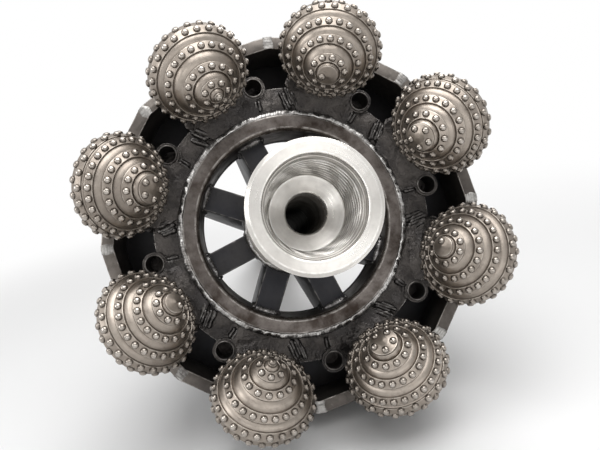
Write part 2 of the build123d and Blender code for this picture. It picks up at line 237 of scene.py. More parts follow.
class Workshop:
    """Makes pieces from patches and from CAD nodes, and ties them to the frame."""

    def __init__(self, frame: dict[str, Any]) -> None:
        """Keep the loaded frame and find the tool's own frame in its record."""
        self.frame = frame
        self.tool = ToolFrame.from_record(frame["record"])

    def piece(
        self,
        name: str,
        patches: Iterable[Patch],
        finish: Finish,
        body: str = BODY,
        stands_for: Iterable[str] = (),
    ) -> bpy.types.Object:
        """Make one piece from patches, with merged seams and outward faces.

        Args:
            name: The piece's name.
            patches: Its surfaces, in the tool frame.
            finish: Its finish.
            body: The body that it moves with.
            stands_for: The CAD nodes that it replaces.

        Returns:
            The finished object.
        """
        patches = list(patches)
        counts = [patch.points[..., 0].size for patch in patches]
        starts = np.concatenate([[0], np.cumsum(counts)[:-1]])
        points = self.tool.place(np.concatenate([patch.points.reshape(-1, 3) for patch in patches]))
        quads = np.concatenate([patch.quads() + start for patch, start in zip(patches, starts)])
        mesh = bpy.data.meshes.new(name)
        mesh.vertices.add(len(points))
        mesh.vertices.foreach_set("co", points.astype(np.float32).ravel())
        mesh.loops.add(quads.size)
        mesh.loops.foreach_set("vertex_index", quads.astype(np.int32).ravel())
        mesh.polygons.add(len(quads))
        mesh.polygons.foreach_set("loop_start", np.arange(0, quads.size, 4, dtype=np.int32))
        mesh.update(calc_edges=True)
        corner_uv = np.concatenate([patch.corner_uv() for patch in patches])
        mesh.uv_layers.new(name=UV_LAYER).data.foreach_set("uv", corner_uv.astype(np.float32).ravel())
        for mask in MASKS:
            values = np.concatenate([patch.mask(mask) for patch in patches])
            layer = mesh.attributes.new(mask, "FLOAT", "POINT")
            layer.data.foreach_set("value", values.astype(np.float32))
        form = bmesh.new()
        form.from_mesh(mesh)
        bmesh.ops.remove_doubles(form, verts=form.verts, dist=MERGE_DISTANCE)
        bmesh.ops.recalc_face_normals(form, faces=form.faces)
        form.to_mesh(mesh)
        form.free()
        return self.dress(name, mesh, finish, body, stands_for)

    def softened(self, node: str, finish: Finish, width: float) -> bpy.types.Object:
        """Copy a CAD node with its outer edges rounded, and mark the rounded faces as worn.

        Args:
            node: The CAD node.
            finish: The copy's finish.
            width: How far each edge is cut back, in millimetres.

        Returns:
            The finished object, which replaces the node.
        """
        form = bmesh.new()
        form.from_mesh(self.frame["nodes"][node].data)
        bmesh.ops.remove_doubles(form, verts=form.verts, dist=NODE_MERGE_DISTANCE)
        bmesh.ops.dissolve_limit(
            form, angle_limit=FLAT_ANGLE, verts=form.verts, edges=form.edges, delimit={"NORMAL"}
        )
        worn = form.faces.layers.float.new("wear")
        edges = [
            edge
            for edge in form.edges
            if edge.is_manifold and edge.is_convex and edge.calc_face_angle(0.0) > EDGE_ANGLE
        ]
        rounded = bmesh.ops.bevel(
            form,
            geom=edges,
            offset=width * MM,
            offset_type="OFFSET",
            segments=EDGE_STEPS,
            profile=EDGE_FULLNESS,
            affect="EDGES",
            clamp_overlap=True,
        )
        for face in rounded["faces"]:
            face[worn] = 1.0
        name = f"{node}_dressed"
        mesh = bpy.data.meshes.new(name)
        form.to_mesh(mesh)
        form.free()
        return self.dress(name, mesh, finish, BODY, (node,))

    def dress(
        self,
        name: str,
        mesh: bpy.types.Mesh,
        finish: Finish,
        body: str,
        stands_for: Iterable[str],
    ) -> bpy.types.Object:
        """Link a mesh as an object, give it its finish and tie it to its body.

        Args:
            name: The object's name.
            mesh: Its mesh, in the row's frame.
            finish: Its finish.
            body: The body that it moves with.
            stands_for: The CAD nodes that it replaces.

        Returns:
            The object.
        """
        mesh.shade_smooth()
        mesh.set_sharp_from_angle(angle=SHARP_ANGLE)
        mesh.materials.append(finish.material())
        piece = bpy.data.objects.new(name, mesh)
        bpy.context.scene.collection.objects.link(piece)
        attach(piece, body)
        if stands_for:
            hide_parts(*stands_for)
        LOG.info("%s: %d faces on %s", name, len(mesh.polygons), body)
        return piece


@dataclass(frozen=True)
class Profile:
    """A turned outline with rounded corners: radius and place of each point, wear, and soot with painted
    shade.
    """

    points: np.ndarray
    wear: np.ndarray
    soot: np.ndarray

    @classmethod
    def rounded(cls, outline: list[Corner], reach: float, outside: int = 1) -> Profile:
        """Round an outline's corners and add points along its sides.

        Each corner becomes a quadratic curve from a point before it to a point after it, at most
        the reach away. Corners that turn towards the outside are worn; the others hold soot and painted
        shade, which thins out over the points beside them. One point is kept in each step of the spacing.

        Args:
            outline: Corners as (radius, place).
            reach: How far the rounding reaches along a side, in millimetres.
            outside: The sign of the turn at a corner that stands out.

        Returns:
            The rounded profile.
        """
        corners = np.array(outline, dtype=float)
        corner = corners[1:-1]
        back, ahead = corners[:-2] - corner, corners[2:] - corner
        back_length = np.linalg.norm(back, axis=1, keepdims=True)
        ahead_length = np.linalg.norm(ahead, axis=1, keepdims=True)
        back, ahead = back / back_length, ahead / ahead_length
        cut = np.minimum(reach, CORNER_SHARE * np.minimum(back_length, ahead_length))
        start, end = corner + back * cut, corner + ahead * cut
        t = CURVE_STEPS[None, :, None]
        curve = (1 - t) ** 2 * start[:, None] + 2 * t * (1 - t) * corner[:, None] + t**2 * end[:, None]
        following = np.concatenate([start[1:], corners[-1:]])
        side = end[:, None] + (following - end)[:, None] * SIDE_STEPS[None, :, None]
        first = corners[0] + (start[0] - corners[0]) * FIRST_STEPS[:, None]
        blocks = np.concatenate([curve, side], axis=1).reshape(-1, 2)
        points = np.concatenate([first, blocks, corners[-1:]])
        turn = outside * (back[:, 1] * ahead[:, 0] - back[:, 0] * ahead[:, 1])
        bends = np.repeat(turn[:, None], len(CURVE_STEPS), axis=1)
        bends = np.pad(bends, ((0, 0), (0, len(SIDE_STEPS)))).ravel()
        levels = np.pad(bends, (len(FIRST_STEPS), 1)) * MASK_GAIN
        # Hollow corners are darkened: soot and painted shade, spread over their neighbours.
        dirt_and_shade = np.convolve(np.clip(-levels, 0, 1), DIRT_AND_SHADE_SPREAD, "same")
        kept = np.diff(np.floor(distances(points) / POINT_SPACING), prepend=-1.0) > 0
        kept[-1] = True
        return cls(points[kept], np.clip(levels, 0, 1)[kept], np.clip(dirt_and_shade, 0, 1)[kept])


def lathe(
    profile: Profile,
    segments: int,
    origin: np.ndarray = ORIGIN,
    axes: np.ndarray = IDENTITY,
    soot: float = 0.0,
) -> Patch:
    """Turn a profile about an axis: radius times cosine, radius times sine, place.

    Args:
        profile: The outline to turn.
        segments: How many steps make a full turn.
        origin: The point on the axis where the place is zero.
        axes: The rows across, beside and along the axis.
        soot: The least soot and painted shade that lies on it.

    Returns:
        The turned surface, whose texture runs around it and along the outline in metres.
    """
    around = np.linspace(0.0, 2 * pi, segments, endpoint=False)
    local = round_points(profile.points[:, 0, None], around, profile.points[:, 1, None])
    uv = texture_grid(np.linspace(0.0, 1.0, segments + 1), distances(profile.points) * MM)
    masks = {"wear": profile.wear[:, None], "soot": np.maximum(profile.soot, soot)[:, None]}
    return Patch((origin + local @ axes)[None], uv, masks)


# Finishes


class Bench:
    """Adds nodes to a node tree and links them."""

    def __init__(self, tree: Tree) -> None:
        """Keep the tree that the nodes go into."""
        self.tree = tree

    def node(self, kind: str, **settings: Any) -> bpy.types.Node:
        """Add a node.

        Args:
            kind: Its type.
            settings: Its properties by name.

        Returns:
            The node.
        """
        node = self.tree.nodes.new(kind)
        for key, value in settings.items():
            setattr(node, key, value)
        return node

    def feed(self, socket: Socket, value: Any) -> None:
        """Link an input to a socket, or set its value.

        Args:
            socket: The input.
            value: Another socket, a number, a vector or a colour.
        """
        if isinstance(value, Socket):
            self.tree.links.new(value, socket)
        elif socket.type == "RGBA":
            socket.default_value = (*value, 1.0)
        else:
            socket.default_value = value

    def fill(self, node: bpy.types.Node, values: dict[str, Any]) -> None:
        """Feed a node's inputs by name."""
        for name, value in values.items():
            self.feed(node.inputs[name], value)

    def math(self, operation: str, a: Any, b: Any = 0.0, clamp: bool = False) -> Socket:
        """Work out one operation on two values.

        Args:
            operation: The operation's name.
            a: The first value or socket.
            b: The second value or socket.
            clamp: Whether the result is kept between zero and one.

        Returns:
            The result.
        """
        node = self.node("ShaderNodeMath", operation=operation, use_clamp=clamp)
        self.feed(node.inputs[0], a)
        self.feed(node.inputs[1], b)
        return node.outputs[0]

    def times(self, a: Any, b: Any) -> Socket:
        """Multiply two values."""
        return self.math("MULTIPLY", a, b)

    def plus(self, a: Any, b: Any) -> Socket:
        """Add two values."""
        return self.math("ADD", a, b)

    def mix(self, factor: Any, a: Any, b: Any) -> Socket:
        """Mix two colours.

        Args:
            factor: The share of the second colour.
            a: The first colour.
            b: The second colour.

        Returns:
            The mixed colour.
        """
        node = self.node("ShaderNodeMix", data_type="RGBA")
        self.feed(node.inputs["Factor"], factor)
        self.feed(node.inputs[6], a)
        self.feed(node.inputs[7], b)
        return node.outputs[2]

    def band(self, value: Any, low: Any, high: Any, to_low: float = 0.0, to_high: float = 1.0) -> Socket:
        """Map a value smoothly from one range to another.

        Args:
            value: The value.
            low: Where the range starts.
            high: Where the range ends.
            to_low: What its start becomes.
            to_high: What its end becomes.

        Returns:
            The mapped value.
        """
        node = self.node("ShaderNodeMapRange", interpolation_type="SMOOTHSTEP")
        for index, item in enumerate((value, low, high, to_low, to_high)):
            self.feed(node.inputs[index], item)
        return node.outputs[0]

    def noise(self, vector: Any, scale: Any, detail: float, roughness: float = 0.55) -> Socket:
        """Add a noise texture.

        Args:
            vector: The coordinates.
            scale: Its scale.
            detail: Its octaves.
            roughness: How strong the finer octaves are.

        Returns:
            Its value.
        """
        node = self.node("ShaderNodeTexNoise")
        self.fill(node, {"Vector": vector, "Scale": scale, "Detail": detail, "Roughness": roughness})
        return node.outputs["Fac"]

    def mapped(self, vector: Any, turn: Point, stretch: Point = (1.0, 1.0, 1.0)) -> Socket:
        """Turn and stretch coordinates.

        Args:
            vector: The coordinates.
            turn: The turn about each axis, in radians.
            stretch: The scale along each axis.

        Returns:
            The new coordinates.
        """
        node = self.node("ShaderNodeMapping")
        self.fill(node, {"Vector": vector, "Rotation": turn, "Scale": stretch})
        return node.outputs[0]

    def place(self) -> Socket:
        """Give the object coordinates."""
        return self.node("ShaderNodeTexCoord").outputs["Object"]

    def attribute(self, name: str) -> Socket:
        """Give one of the mesh's masks."""
        return self.node("ShaderNodeAttribute", attribute_name=name).outputs["Fac"]


class Effect(Enum):
    """The effects that the finishes share, each a node group."""

    MOTTLE = "mottle"
    SCRATCHES = "scratches"
    TURNING = "turning"
    WORN_EDGES = "worn_edges"
    SOOT = "soot"
    RIDGES = "ridges"

    def group(self) -> Tree:
        """Give this effect's node group, built on first use.

        Returns:
            The group.
        """
        found = bpy.data.node_groups.get(self.value)
        if found:
            return found
        tree = bpy.data.node_groups.new(self.value, "ShaderNodeTree")
        builders = {
            Effect.MOTTLE: mottle_group,
            Effect.SCRATCHES: scratch_group,
            Effect.TURNING: turning_group,
            Effect.WORN_EDGES: edge_group,
            Effect.SOOT: soot_and_shade_group,
            Effect.RIDGES: ridge_group,
        }
        builders[self](tree)
        return tree


def group_sockets(tree: Tree, inputs: dict[str, float], outputs: Iterable[str]) -> tuple[Any, Any]:
    """Give a node group its named sockets.

    Args:
        tree: The group.
        inputs: Names and default values of its inputs.
        outputs: Names of its outputs.

    Returns:
        The group's input sockets by name, and the output node's sockets by name.
    """
    for name, value in inputs.items():
        socket = tree.interface.new_socket(name, in_out="INPUT", socket_type="NodeSocketFloat")
        socket.default_value = value
    for name in outputs:
        tree.interface.new_socket(name, in_out="OUTPUT", socket_type="NodeSocketFloat")
    return tree.nodes.new("NodeGroupInput").outputs, tree.nodes.new("NodeGroupOutput").inputs


def mottle_group(tree: Tree) -> None:
    """Broad patches and fine specks: two noises on the object's own coordinates.

    Args:
        tree: The node group.
    """
    given, results = group_sockets(tree, {"Scale": 10.0}, ("Broad", "Fine"))
    bench = Bench(tree)
    place = bench.place()
    broad = bench.noise(place, given["Scale"], 6.0, 0.6)
    fine = bench.noise(place, bench.times(given["Scale"], 9.0), 5.0, 0.6)
    bench.feed(results["Broad"], bench.band(broad, 0.35, 0.68))
    bench.feed(results["Fine"], fine)


def scratch_group(tree: Tree) -> None:
    """Grinding lines: the crests of two noises that are stretched along crossed directions.

    Args:
        tree: The node group.
    """
    given, results = group_sockets(tree, {"Scale": 60.0, "Share": 0.5}, ("Mask",))
    bench = Bench(tree)
    place = bench.place()
    masks = []
    for turn, stretch in (((0.3, 0.5, 0.4), (1.0, 0.06, 1.0)), ((1.1, -0.4, 2.1), (1.0, 0.04, 0.8))):
        lines = bench.noise(bench.mapped(place, turn, stretch), given["Scale"], 3.0, 0.6)
        low = bench.math("SUBTRACT", 0.86, bench.times(given["Share"], 0.4))
        masks.append(bench.band(lines, low, 0.82))
    patch = bench.band(bench.noise(place, 7.0, 3.0), 0.4, 0.62)
    bench.feed(results["Mask"], bench.times(bench.math("MAXIMUM", *masks), patch))


def turning_group(tree: Tree) -> None:
    """Marks of the lathe: noise along the texture's second axis, which follows the outline.

    Args:
        tree: The node group.
    """
    given, results = group_sockets(tree, {"Lines": 900.0}, ("Height", "Band"))
    bench = Bench(tree)
    split = bench.node("ShaderNodeSeparateXYZ")
    bench.feed(split.inputs[0], bench.node("ShaderNodeUVMap", uv_map=UV_LAYER).outputs[0])
    marks = []
    for share, detail in ((1.0, 2.0), (0.12, 4.0)):
        noise = bench.node("ShaderNodeTexNoise", noise_dimensions="1D")
        lines = bench.times(split.outputs["Y"], bench.times(given["Lines"], share))
        bench.fill(noise, {"W": lines, "Scale": 1.0, "Detail": detail})
        marks.append(noise.outputs["Fac"])
    bench.feed(results["Height"], marks[0])
    bench.feed(results["Band"], bench.band(marks[1], 0.35, 0.65))


def edge_group(tree: Tree) -> None:
    """Bare metal on edges: the wear mask, broken up by noise.

    Args:
        tree: The node group.
    """
    given, results = group_sockets(tree, {"Amount": 0.8}, ("Mask",))
    bench = Bench(tree)
    broken = bench.band(bench.noise(bench.place(), 55.0, 4.0, 0.65), 0.36, 0.6)
    mask = bench.times(bench.attribute("wear"), bench.times(broken, given["Amount"]))
    bench.feed(results["Mask"], bench.math("MINIMUM", mask, 1.0))


def soot_and_shade_group(tree: Tree) -> None:
    """Painted shade and dirt in corners: the mask of soot and painted shade, and a little dirt spread by
    noise.

    Args:
        tree: The node group.
    """
    given, results = group_sockets(tree, {"Amount": 0.8, "Spread": 0.2}, ("Mask",))
    bench = Bench(tree)
    noise = bench.noise(bench.place(), 24.0, 5.0, 0.65)
    corner = bench.times(bench.attribute("soot"), bench.band(noise, 0.2, 0.6, 0.5, 1.0))
    spread = bench.times(bench.band(noise, 0.5, 0.78), given["Spread"])
    total = bench.math("MULTIPLY", bench.plus(corner, spread), given["Amount"], clamp=True)
    bench.feed(results["Mask"], total)


def ridge_group(tree: Tree) -> None:
    """Ridges of grinding and of old passes: distorted waves in two directions, in separate patches.

    Args:
        tree: The node group.
    """
    given, results = group_sockets(tree, {"Scale": 45.0}, ("Height",))
    bench = Bench(tree)
    place = bench.place()
    heights = []
    for turn, low, high in (((0.2, 0.7, 0.5), 0.46, 0.58), ((1.2, 0.1, -0.6), 0.54, 0.42)):
        wave = bench.node("ShaderNodeTexWave")
        bench.fill(wave, {"Vector": bench.mapped(place, turn), "Scale": given["Scale"]})
        bench.fill(wave, {"Distortion": 5.0, "Detail": 3.0})
        patch = bench.band(bench.noise(place, 11.0, 2.0), low, high)
        heights.append(bench.times(wave.outputs["Fac"], patch))
    bench.feed(results["Height"], bench.math("MAXIMUM", *heights))


# How strongly each effect shows in a finish
SPECK_BAND = (0.48, 0.7)
FINE_HEIGHT = 0.6
RING_SHADE = 0.45
RING_ROUGHNESS = 0.1
RIDGE_HEIGHT = 2.0
CREST_BAND = (0.55, 1.0)
CREST_SHARE = 0.35
SOOT_ROUGHNESS = 0.25
EDGE_POLISH = 0.1
QUARTER_TURN = 0.25


@dataclass(frozen=True)
class Finish:
    """A worn steel finish, whose material is built from the shared effects.

    Colours are linear. The tone and the patch colour mottle the surface, bare metal shows on edges and
    scratches, and soot with painted shade darkens the corners.
    """

    name: str
    slot: str
    tone: Colour
    patch: Colour
    bare: Colour
    # Dark colour of specks, soot and the painted shade in corners.
    soot: Colour
    metallic: float = 1.0
    roughness: float = 0.42
    rough_patch: float = 0.12
    mottle_scale: float = 9.0
    speck: float = 0.25
    scratch: float = 0.3
    scratch_scale: float = 60.0
    turning: float = 0.0
    turning_lines: float = 900.0
    wear: float = 0.8
    soot_and_shade_amount: float = 0.8
    soot_spread: float = 0.2
    bump: float = 0.15
    bump_depth: float = 0.0006
    ridges: float = 0.0
    lumps: float = 0.0
    anisotropy: float = 0.0

    def material(self) -> bpy.types.Material:
        """Give this finish's material, built on first use.

        Returns:
            The material.
        """
        found = bpy.data.materials.get(self.name)
        if found:
            return found
        material = bpy.data.materials.new(self.name)
        material.use_nodes = True
        material.node_tree.nodes.clear()
        bench = Bench(material.node_tree)
        colour, rough, height = self.layers(bench)
        rough = bench.math("ADD", rough, self.roughness, clamp=True)
        bump = bench.node("ShaderNodeBump")
        bench.fill(bump, {"Strength": self.bump, "Distance": self.bump_depth, "Height": height})
        shader = bench.node("ShaderNodeBsdfPrincipled")
        bench.fill(shader, {"Base Color": colour, "Roughness": rough, "Metallic": self.metallic})
        bench.feed(shader.inputs["Normal"], bump.outputs[0])
        if self.anisotropy > 0:
            tangent = bench.node("ShaderNodeTangent", direction_type="UV_MAP", uv_map=UV_LAYER)
            bench.fill(shader, {"Anisotropic": self.anisotropy, "Tangent": tangent.outputs[0]})
            bench.feed(shader.inputs["Anisotropic Rotation"], QUARTER_TURN)
        output = bench.node("ShaderNodeOutputMaterial")
        bench.feed(output.inputs["Surface"], shader.outputs[0])
        return material

    def layers(self, bench: Bench) -> tuple[Socket, Socket, Socket]:
        """Lay the effects over the mottled steel: specks, lathe marks, ridges, scratches, soot with painted
        shade, edges.

        Args:
            bench: Where the material's nodes go.

        Returns:
            The colour, what is added to the roughness, and the height for the bump.
        """
        mottle = self.effect(bench, Effect.MOTTLE, Scale=self.mottle_scale)
        scratches = self.effect(bench, Effect.SCRATCHES, Scale=self.scratch_scale, Share=self.scratch)
        edges = self.effect(bench, Effect.WORN_EDGES, Amount=self.wear)["Mask"]
        soot = self.effect(bench, Effect.SOOT, Amount=self.soot_and_shade_amount, Spread=self.soot_spread)["Mask"]
        colour = bench.mix(mottle["Broad"], self.tone, self.patch)
        specks = bench.times(bench.band(mottle["Fine"], *SPECK_BAND), self.speck)
        colour = bench.mix(specks, colour, self.soot)
        rough = bench.times(mottle["Broad"], self.rough_patch)
        height = bench.times(mottle["Fine"], FINE_HEIGHT)
        if self.lumps > 0:
            height = bench.plus(height, bench.times(mottle["Broad"], self.lumps))
        if self.turning > 0:
            rings = self.effect(bench, Effect.TURNING, Lines=self.turning_lines)
            colour = bench.mix(bench.times(rings["Band"], self.turning * RING_SHADE), colour, self.patch)
            rough = bench.plus(rough, bench.times(rings["Band"], self.turning * RING_ROUGHNESS))
            height = bench.plus(height, bench.times(rings["Height"], self.turning))
        if self.ridges > 0:
            ridge = self.effect(bench, Effect.RIDGES)["Height"]
            crest = bench.times(bench.band(ridge, *CREST_BAND), self.ridges * CREST_SHARE)
            colour = bench.mix(crest, colour, self.bare)
            height = bench.plus(height, bench.times(ridge, self.ridges * RIDGE_HEIGHT))
        scratched = bench.times(scratches["Mask"], self.scratch)
        colour = bench.mix(scratched, colour, self.bare)
        # Painted shade and soot: corners and hollows take the dark soot colour.
        colour = bench.mix(soot, colour, self.soot)
        colour = bench.mix(edges, colour, self.bare)
        rough = bench.plus(rough, bench.times(soot, SOOT_ROUGHNESS))
        rough = bench.math("SUBTRACT", rough, bench.times(edges, EDGE_POLISH))
        return colour, rough, bench.plus(height, scratched)

    @staticmethod
    def effect(bench: Bench, effect: Effect, **values: float) -> Any:
        """Place a shared effect with its own values.

        Args:
            bench: Where the material's nodes go.
            effect: The effect.
            values: Its inputs by name.

        Returns:
            The effect's outputs by name.
        """
        node = bench.node("ShaderNodeGroup", node_tree=effect.group())
        bench.fill(node, values)
        return node.outputs


CONE_STEEL = Finish(
    "cone_steel_turned",
    "cone_steel",
    tone=(0.38, 0.332, 0.287),
    patch=(0.25, 0.217, 0.187),
    bare=(0.5, 0.46, 0.41),
    soot=(0.05, 0.04, 0.033),
    roughness=0.34,
    scratch=0.12,
    turning=0.6,
    wear=0.6,
)
CARBIDE = Finish(
    "carbide",
    "cone_steel",
    tone=(0.37, 0.332, 0.294),
    patch=(0.28, 0.248, 0.216),
    bare=(0.72, 0.68, 0.635),
    soot=(0.05, 0.042, 0.036),
    roughness=0.18,
    mottle_scale=30.0,
    speck=0.05,
    scratch=0.0,
    wear=0.4,
    soot_spread=0.05,
    bump=0.02,
)
MACHINED_STEEL = Finish(
    "machined_steel_bright",
    "machined_steel",
    tone=(0.8, 0.775, 0.735),
    patch=(0.6, 0.575, 0.54),
    bare=(0.88, 0.86, 0.82),
    soot=(0.12, 0.105, 0.088),
    roughness=0.24,
    speck=0.1,
    scratch=0.2,
    turning=0.8,
    turning_lines=1500.0,
    soot_and_shade_amount=0.9,
    soot_spread=0.15,
    bump=0.14,
    anisotropy=0.8,
)
SHAFT_STEEL = Finish(
    "shaft_steel_scuffed",
    "machined_steel",
    tone=(0.26, 0.24, 0.22),
    patch=(0.16, 0.14, 0.12),
    bare=(0.5, 0.475, 0.44),
    soot=(0.05, 0.042, 0.036),
    roughness=0.36,
    scratch=0.4,
    turning=0.5,
    turning_lines=700.0,
    anisotropy=0.4,
)
RING_STEEL = Finish(
    "ring_steel_heat_tinted",
    "ring_steel",
    tone=(0.158, 0.14, 0.129),
    patch=(0.046, 0.035, 0.029),
    bare=(0.34, 0.32, 0.3),
    soot=(0.02, 0.017, 0.015),
    roughness=0.32,
    mottle_scale=19.0,
    scratch=0.35,
    turning=0.2,
    turning_lines=500.0,
)
LEG_STEEL = Finish(
    "leg_steel_forged",
    "forged_steel",
    tone=(0.035, 0.032, 0.031),
    patch=(0.092, 0.083, 0.077),
    bare=(0.36, 0.34, 0.32),
    soot=(0.01, 0.009, 0.009),
    metallic=0.85,
    roughness=0.26,
    rough_patch=0.2,
    mottle_scale=20.0,
    scratch=0.4,
    scratch_scale=90.0,
    wear=1.0,
    bump=0.4,
    bump_depth=0.0016,
    ridges=0.06,
    lumps=6.0,
)
# Near-black mill scale, its tone also lowered as painted shade for the arms' side faces and the back plate.
PLATE_STEEL = Finish(
    "plate_steel_scaled_and_shaded",
    "plate_steel",
    tone=(0.026, 0.026, 0.03),
    patch=(0.045, 0.043, 0.044),
    bare=(0.22, 0.21, 0.2),
    soot=(0.01, 0.009, 0.009),
    metallic=0.7,
    roughness=0.46,
    bump=0.25,
)
RIM_STEEL = Finish(
    "rim_steel_rubbed",
    "plate_steel",
    tone=(0.15, 0.134, 0.12),
    patch=(0.075, 0.066, 0.06),
    bare=(0.38, 0.355, 0.33),
    soot=(0.02, 0.018, 0.017),
    metallic=0.9,
    roughness=0.4,
    scratch=0.5,
)
WELD_METAL = Finish(
    "weld_metal_bright",
    "ring_steel",
    tone=(0.5, 0.49, 0.475),
    patch=(0.2, 0.185, 0.175),
    bare=(0.72, 0.71, 0.69),
    soot=(0.03, 0.026, 0.024),
    roughness=0.3,
    mottle_scale=26.0,
    scratch=0.1,
    wear=0.9,
    bump=0.35,
    bump_depth=0.0012,
)
ARM_WELD = replace(
    WELD_METAL,
    name="weld_metal_grey",
    tone=(0.24, 0.235, 0.235),
    patch=(0.09, 0.086, 0.085),
    bare=(0.5, 0.49, 0.48),
    roughness=0.36,
)
SEAM_WELD = replace(
    WELD_METAL,
    name="weld_metal_dark",
    tone=(0.08, 0.075, 0.072),
    patch=(0.05, 0.046, 0.045),
    bare=(0.24, 0.23, 0.22),
    roughness=0.34,
    wear=0.6,
    soot_and_shade_amount=0.15,
    bump=0.12,
)
RIM_WELD = replace(
    WELD_METAL,
    name="weld_metal_ground",
    tone=(0.33, 0.32, 0.305),
    patch=(0.11, 0.1, 0.095),
    bare=(0.5, 0.49, 0.47),
    roughness=0.4,
)
NOZZLE_STEEL = Finish(
    "nozzle_steel_worn",
    "nozzle_steel",
    tone=(0.105, 0.096, 0.091),
    patch=(0.06, 0.054, 0.051),
    bare=(0.26, 0.245, 0.23),
    soot=(0.014, 0.012, 0.012),
    metallic=0.9,
    roughness=0.4,
    turning=0.3,
)


# Sub-assemblies


@dataclass(frozen=True)
class InsertRow:
    """One row of carbide inserts on a cone: its seat, the land that carries it and its count."""

    place: float
    radius: float
    lean: float
    half_land: float
    count: int
    projection: float
    height: float
    turn: float

    def land_end(self, side: int) -> Corner:
        """Give the outer (-1) or inner (1) edge of the land as (radius, place)."""
        reach, lean = side * self.half_land, radians(self.lean)
        return self.radius - reach * cos(lean), self.place + reach * sin(lean)

    def land_foot(self, side: int) -> Corner:
        """Give the foot of the wall at one edge of the land, square to the land."""
        (radius, place), lean = self.land_end(side), radians(self.lean)
        return radius - self.height * sin(lean), place - self.height * cos(lean)

    def seats(self) -> tuple[np.ndarray, np.ndarray, np.ndarray]:
        """Space the inserts evenly around the cone's axis, each square to the land.

        Returns:
            For each insert its seat, the way it faces and the way around the cone.
        """
        angle = 2 * pi * (np.arange(self.count) + self.turn) / self.count
        level, lean = np.zeros(self.count), radians(self.lean)
        outwards = np.stack([np.cos(angle), np.sin(angle), level], axis=1)
        onwards = np.stack([-np.sin(angle), np.cos(angle), level], axis=1)
        seat = outwards * self.radius + np.array((0.0, 0.0, self.place))
        return seat, outwards * sin(lean) + np.array((0.0, 0.0, cos(lean))), onwards


GAUGE_ROW = InsertRow(1.0, 101.0, 96.0, 0.0, 0, 5.5, 0.0, 0.5)
INSERT_SIDES = 12
INSERT_RISE = np.radians(np.array([0.0, 0.0, 24.0, 48.0, 70.0, 90.0]))
# Lighter crown on each insert: wear, and also a painted highlight on the top.
INSERT_WEAR_AND_HIGHLIGHT = np.array([0.0, 0.0, 0.0, 0.2, 0.7, 1.0])
# Dark band round each insert's base: painted shade, with some soot.
INSERT_SOOT_AND_SHADE = np.array([1.0, 0.95, 0.6, 0.12, 0.0, 0.0])
INSERT_ROUNDNESS = 0.8
INSERT_TEXTURE_LENGTH = 0.01


class ConeKind(Enum):
    """The three kinds of cone: the rows from heel to nose, and where the nose ends."""

    DOME = (
        (
            InsertRow(14.0, 99.5, 72.0, 6.5, 22, 6.5, 2.5, 0.0),
            InsertRow(31.0, 89.0, 57.0, 8.5, 27, 7.0, 3.5, 0.7),
            InsertRow(56.0, 66.0, 48.0, 9.5, 20, 7.0, 4.0, 0.3),
            InsertRow(80.5, 41.5, 42.0, 9.5, 12, 7.0, 4.0, 0.6),
            InsertRow(102.0, 19.5, 16.0, 9.0, 5, 6.0, 4.0, 0.2),
        ),
        106.0,
    )
    CAP = (
        (
            InsertRow(15.0, 99.0, 70.0, 7.5, 25, 6.5, 3.0, 0.0),
            InsertRow(40.0, 80.5, 53.0, 9.0, 25, 7.0, 4.0, 0.4),
            InsertRow(65.0, 57.0, 45.0, 9.0, 18, 7.0, 4.0, 0.1),
            InsertRow(90.0, 31.0, 40.0, 8.5, 10, 7.0, 3.5, 0.7),
            InsertRow(104.5, 10.5, 14.0, 10.0, 1, 6.0, 3.0, 0.3),
        ),
        107.0,
    )
    SPEAR = (
        (
            InsertRow(19.0, 97.5, 64.0, 9.0, 26, 7.0, 3.5, 0.0),
            InsertRow(45.0, 76.0, 52.0, 9.5, 23, 7.0, 4.0, 0.5),
            InsertRow(75.0, 47.0, 44.0, 9.5, 14, 7.0, 4.0, 0.2),
            InsertRow(98.0, 22.5, 38.0, 9.0, 7, 7.0, 2.5, 0.6),
            InsertRow(113.0, 0.0, 0.0, 8.5, 1, 6.0, 5.0, 0.0),
        ),
        113.0,
    )

    @property
    def rows(self) -> tuple[InsertRow, ...]:
        """The rows from heel to nose."""
        return self.value[0]

    @property
    def nose(self) -> float:
        """Where the nose ends on the cone's axis."""
        return self.value[1]


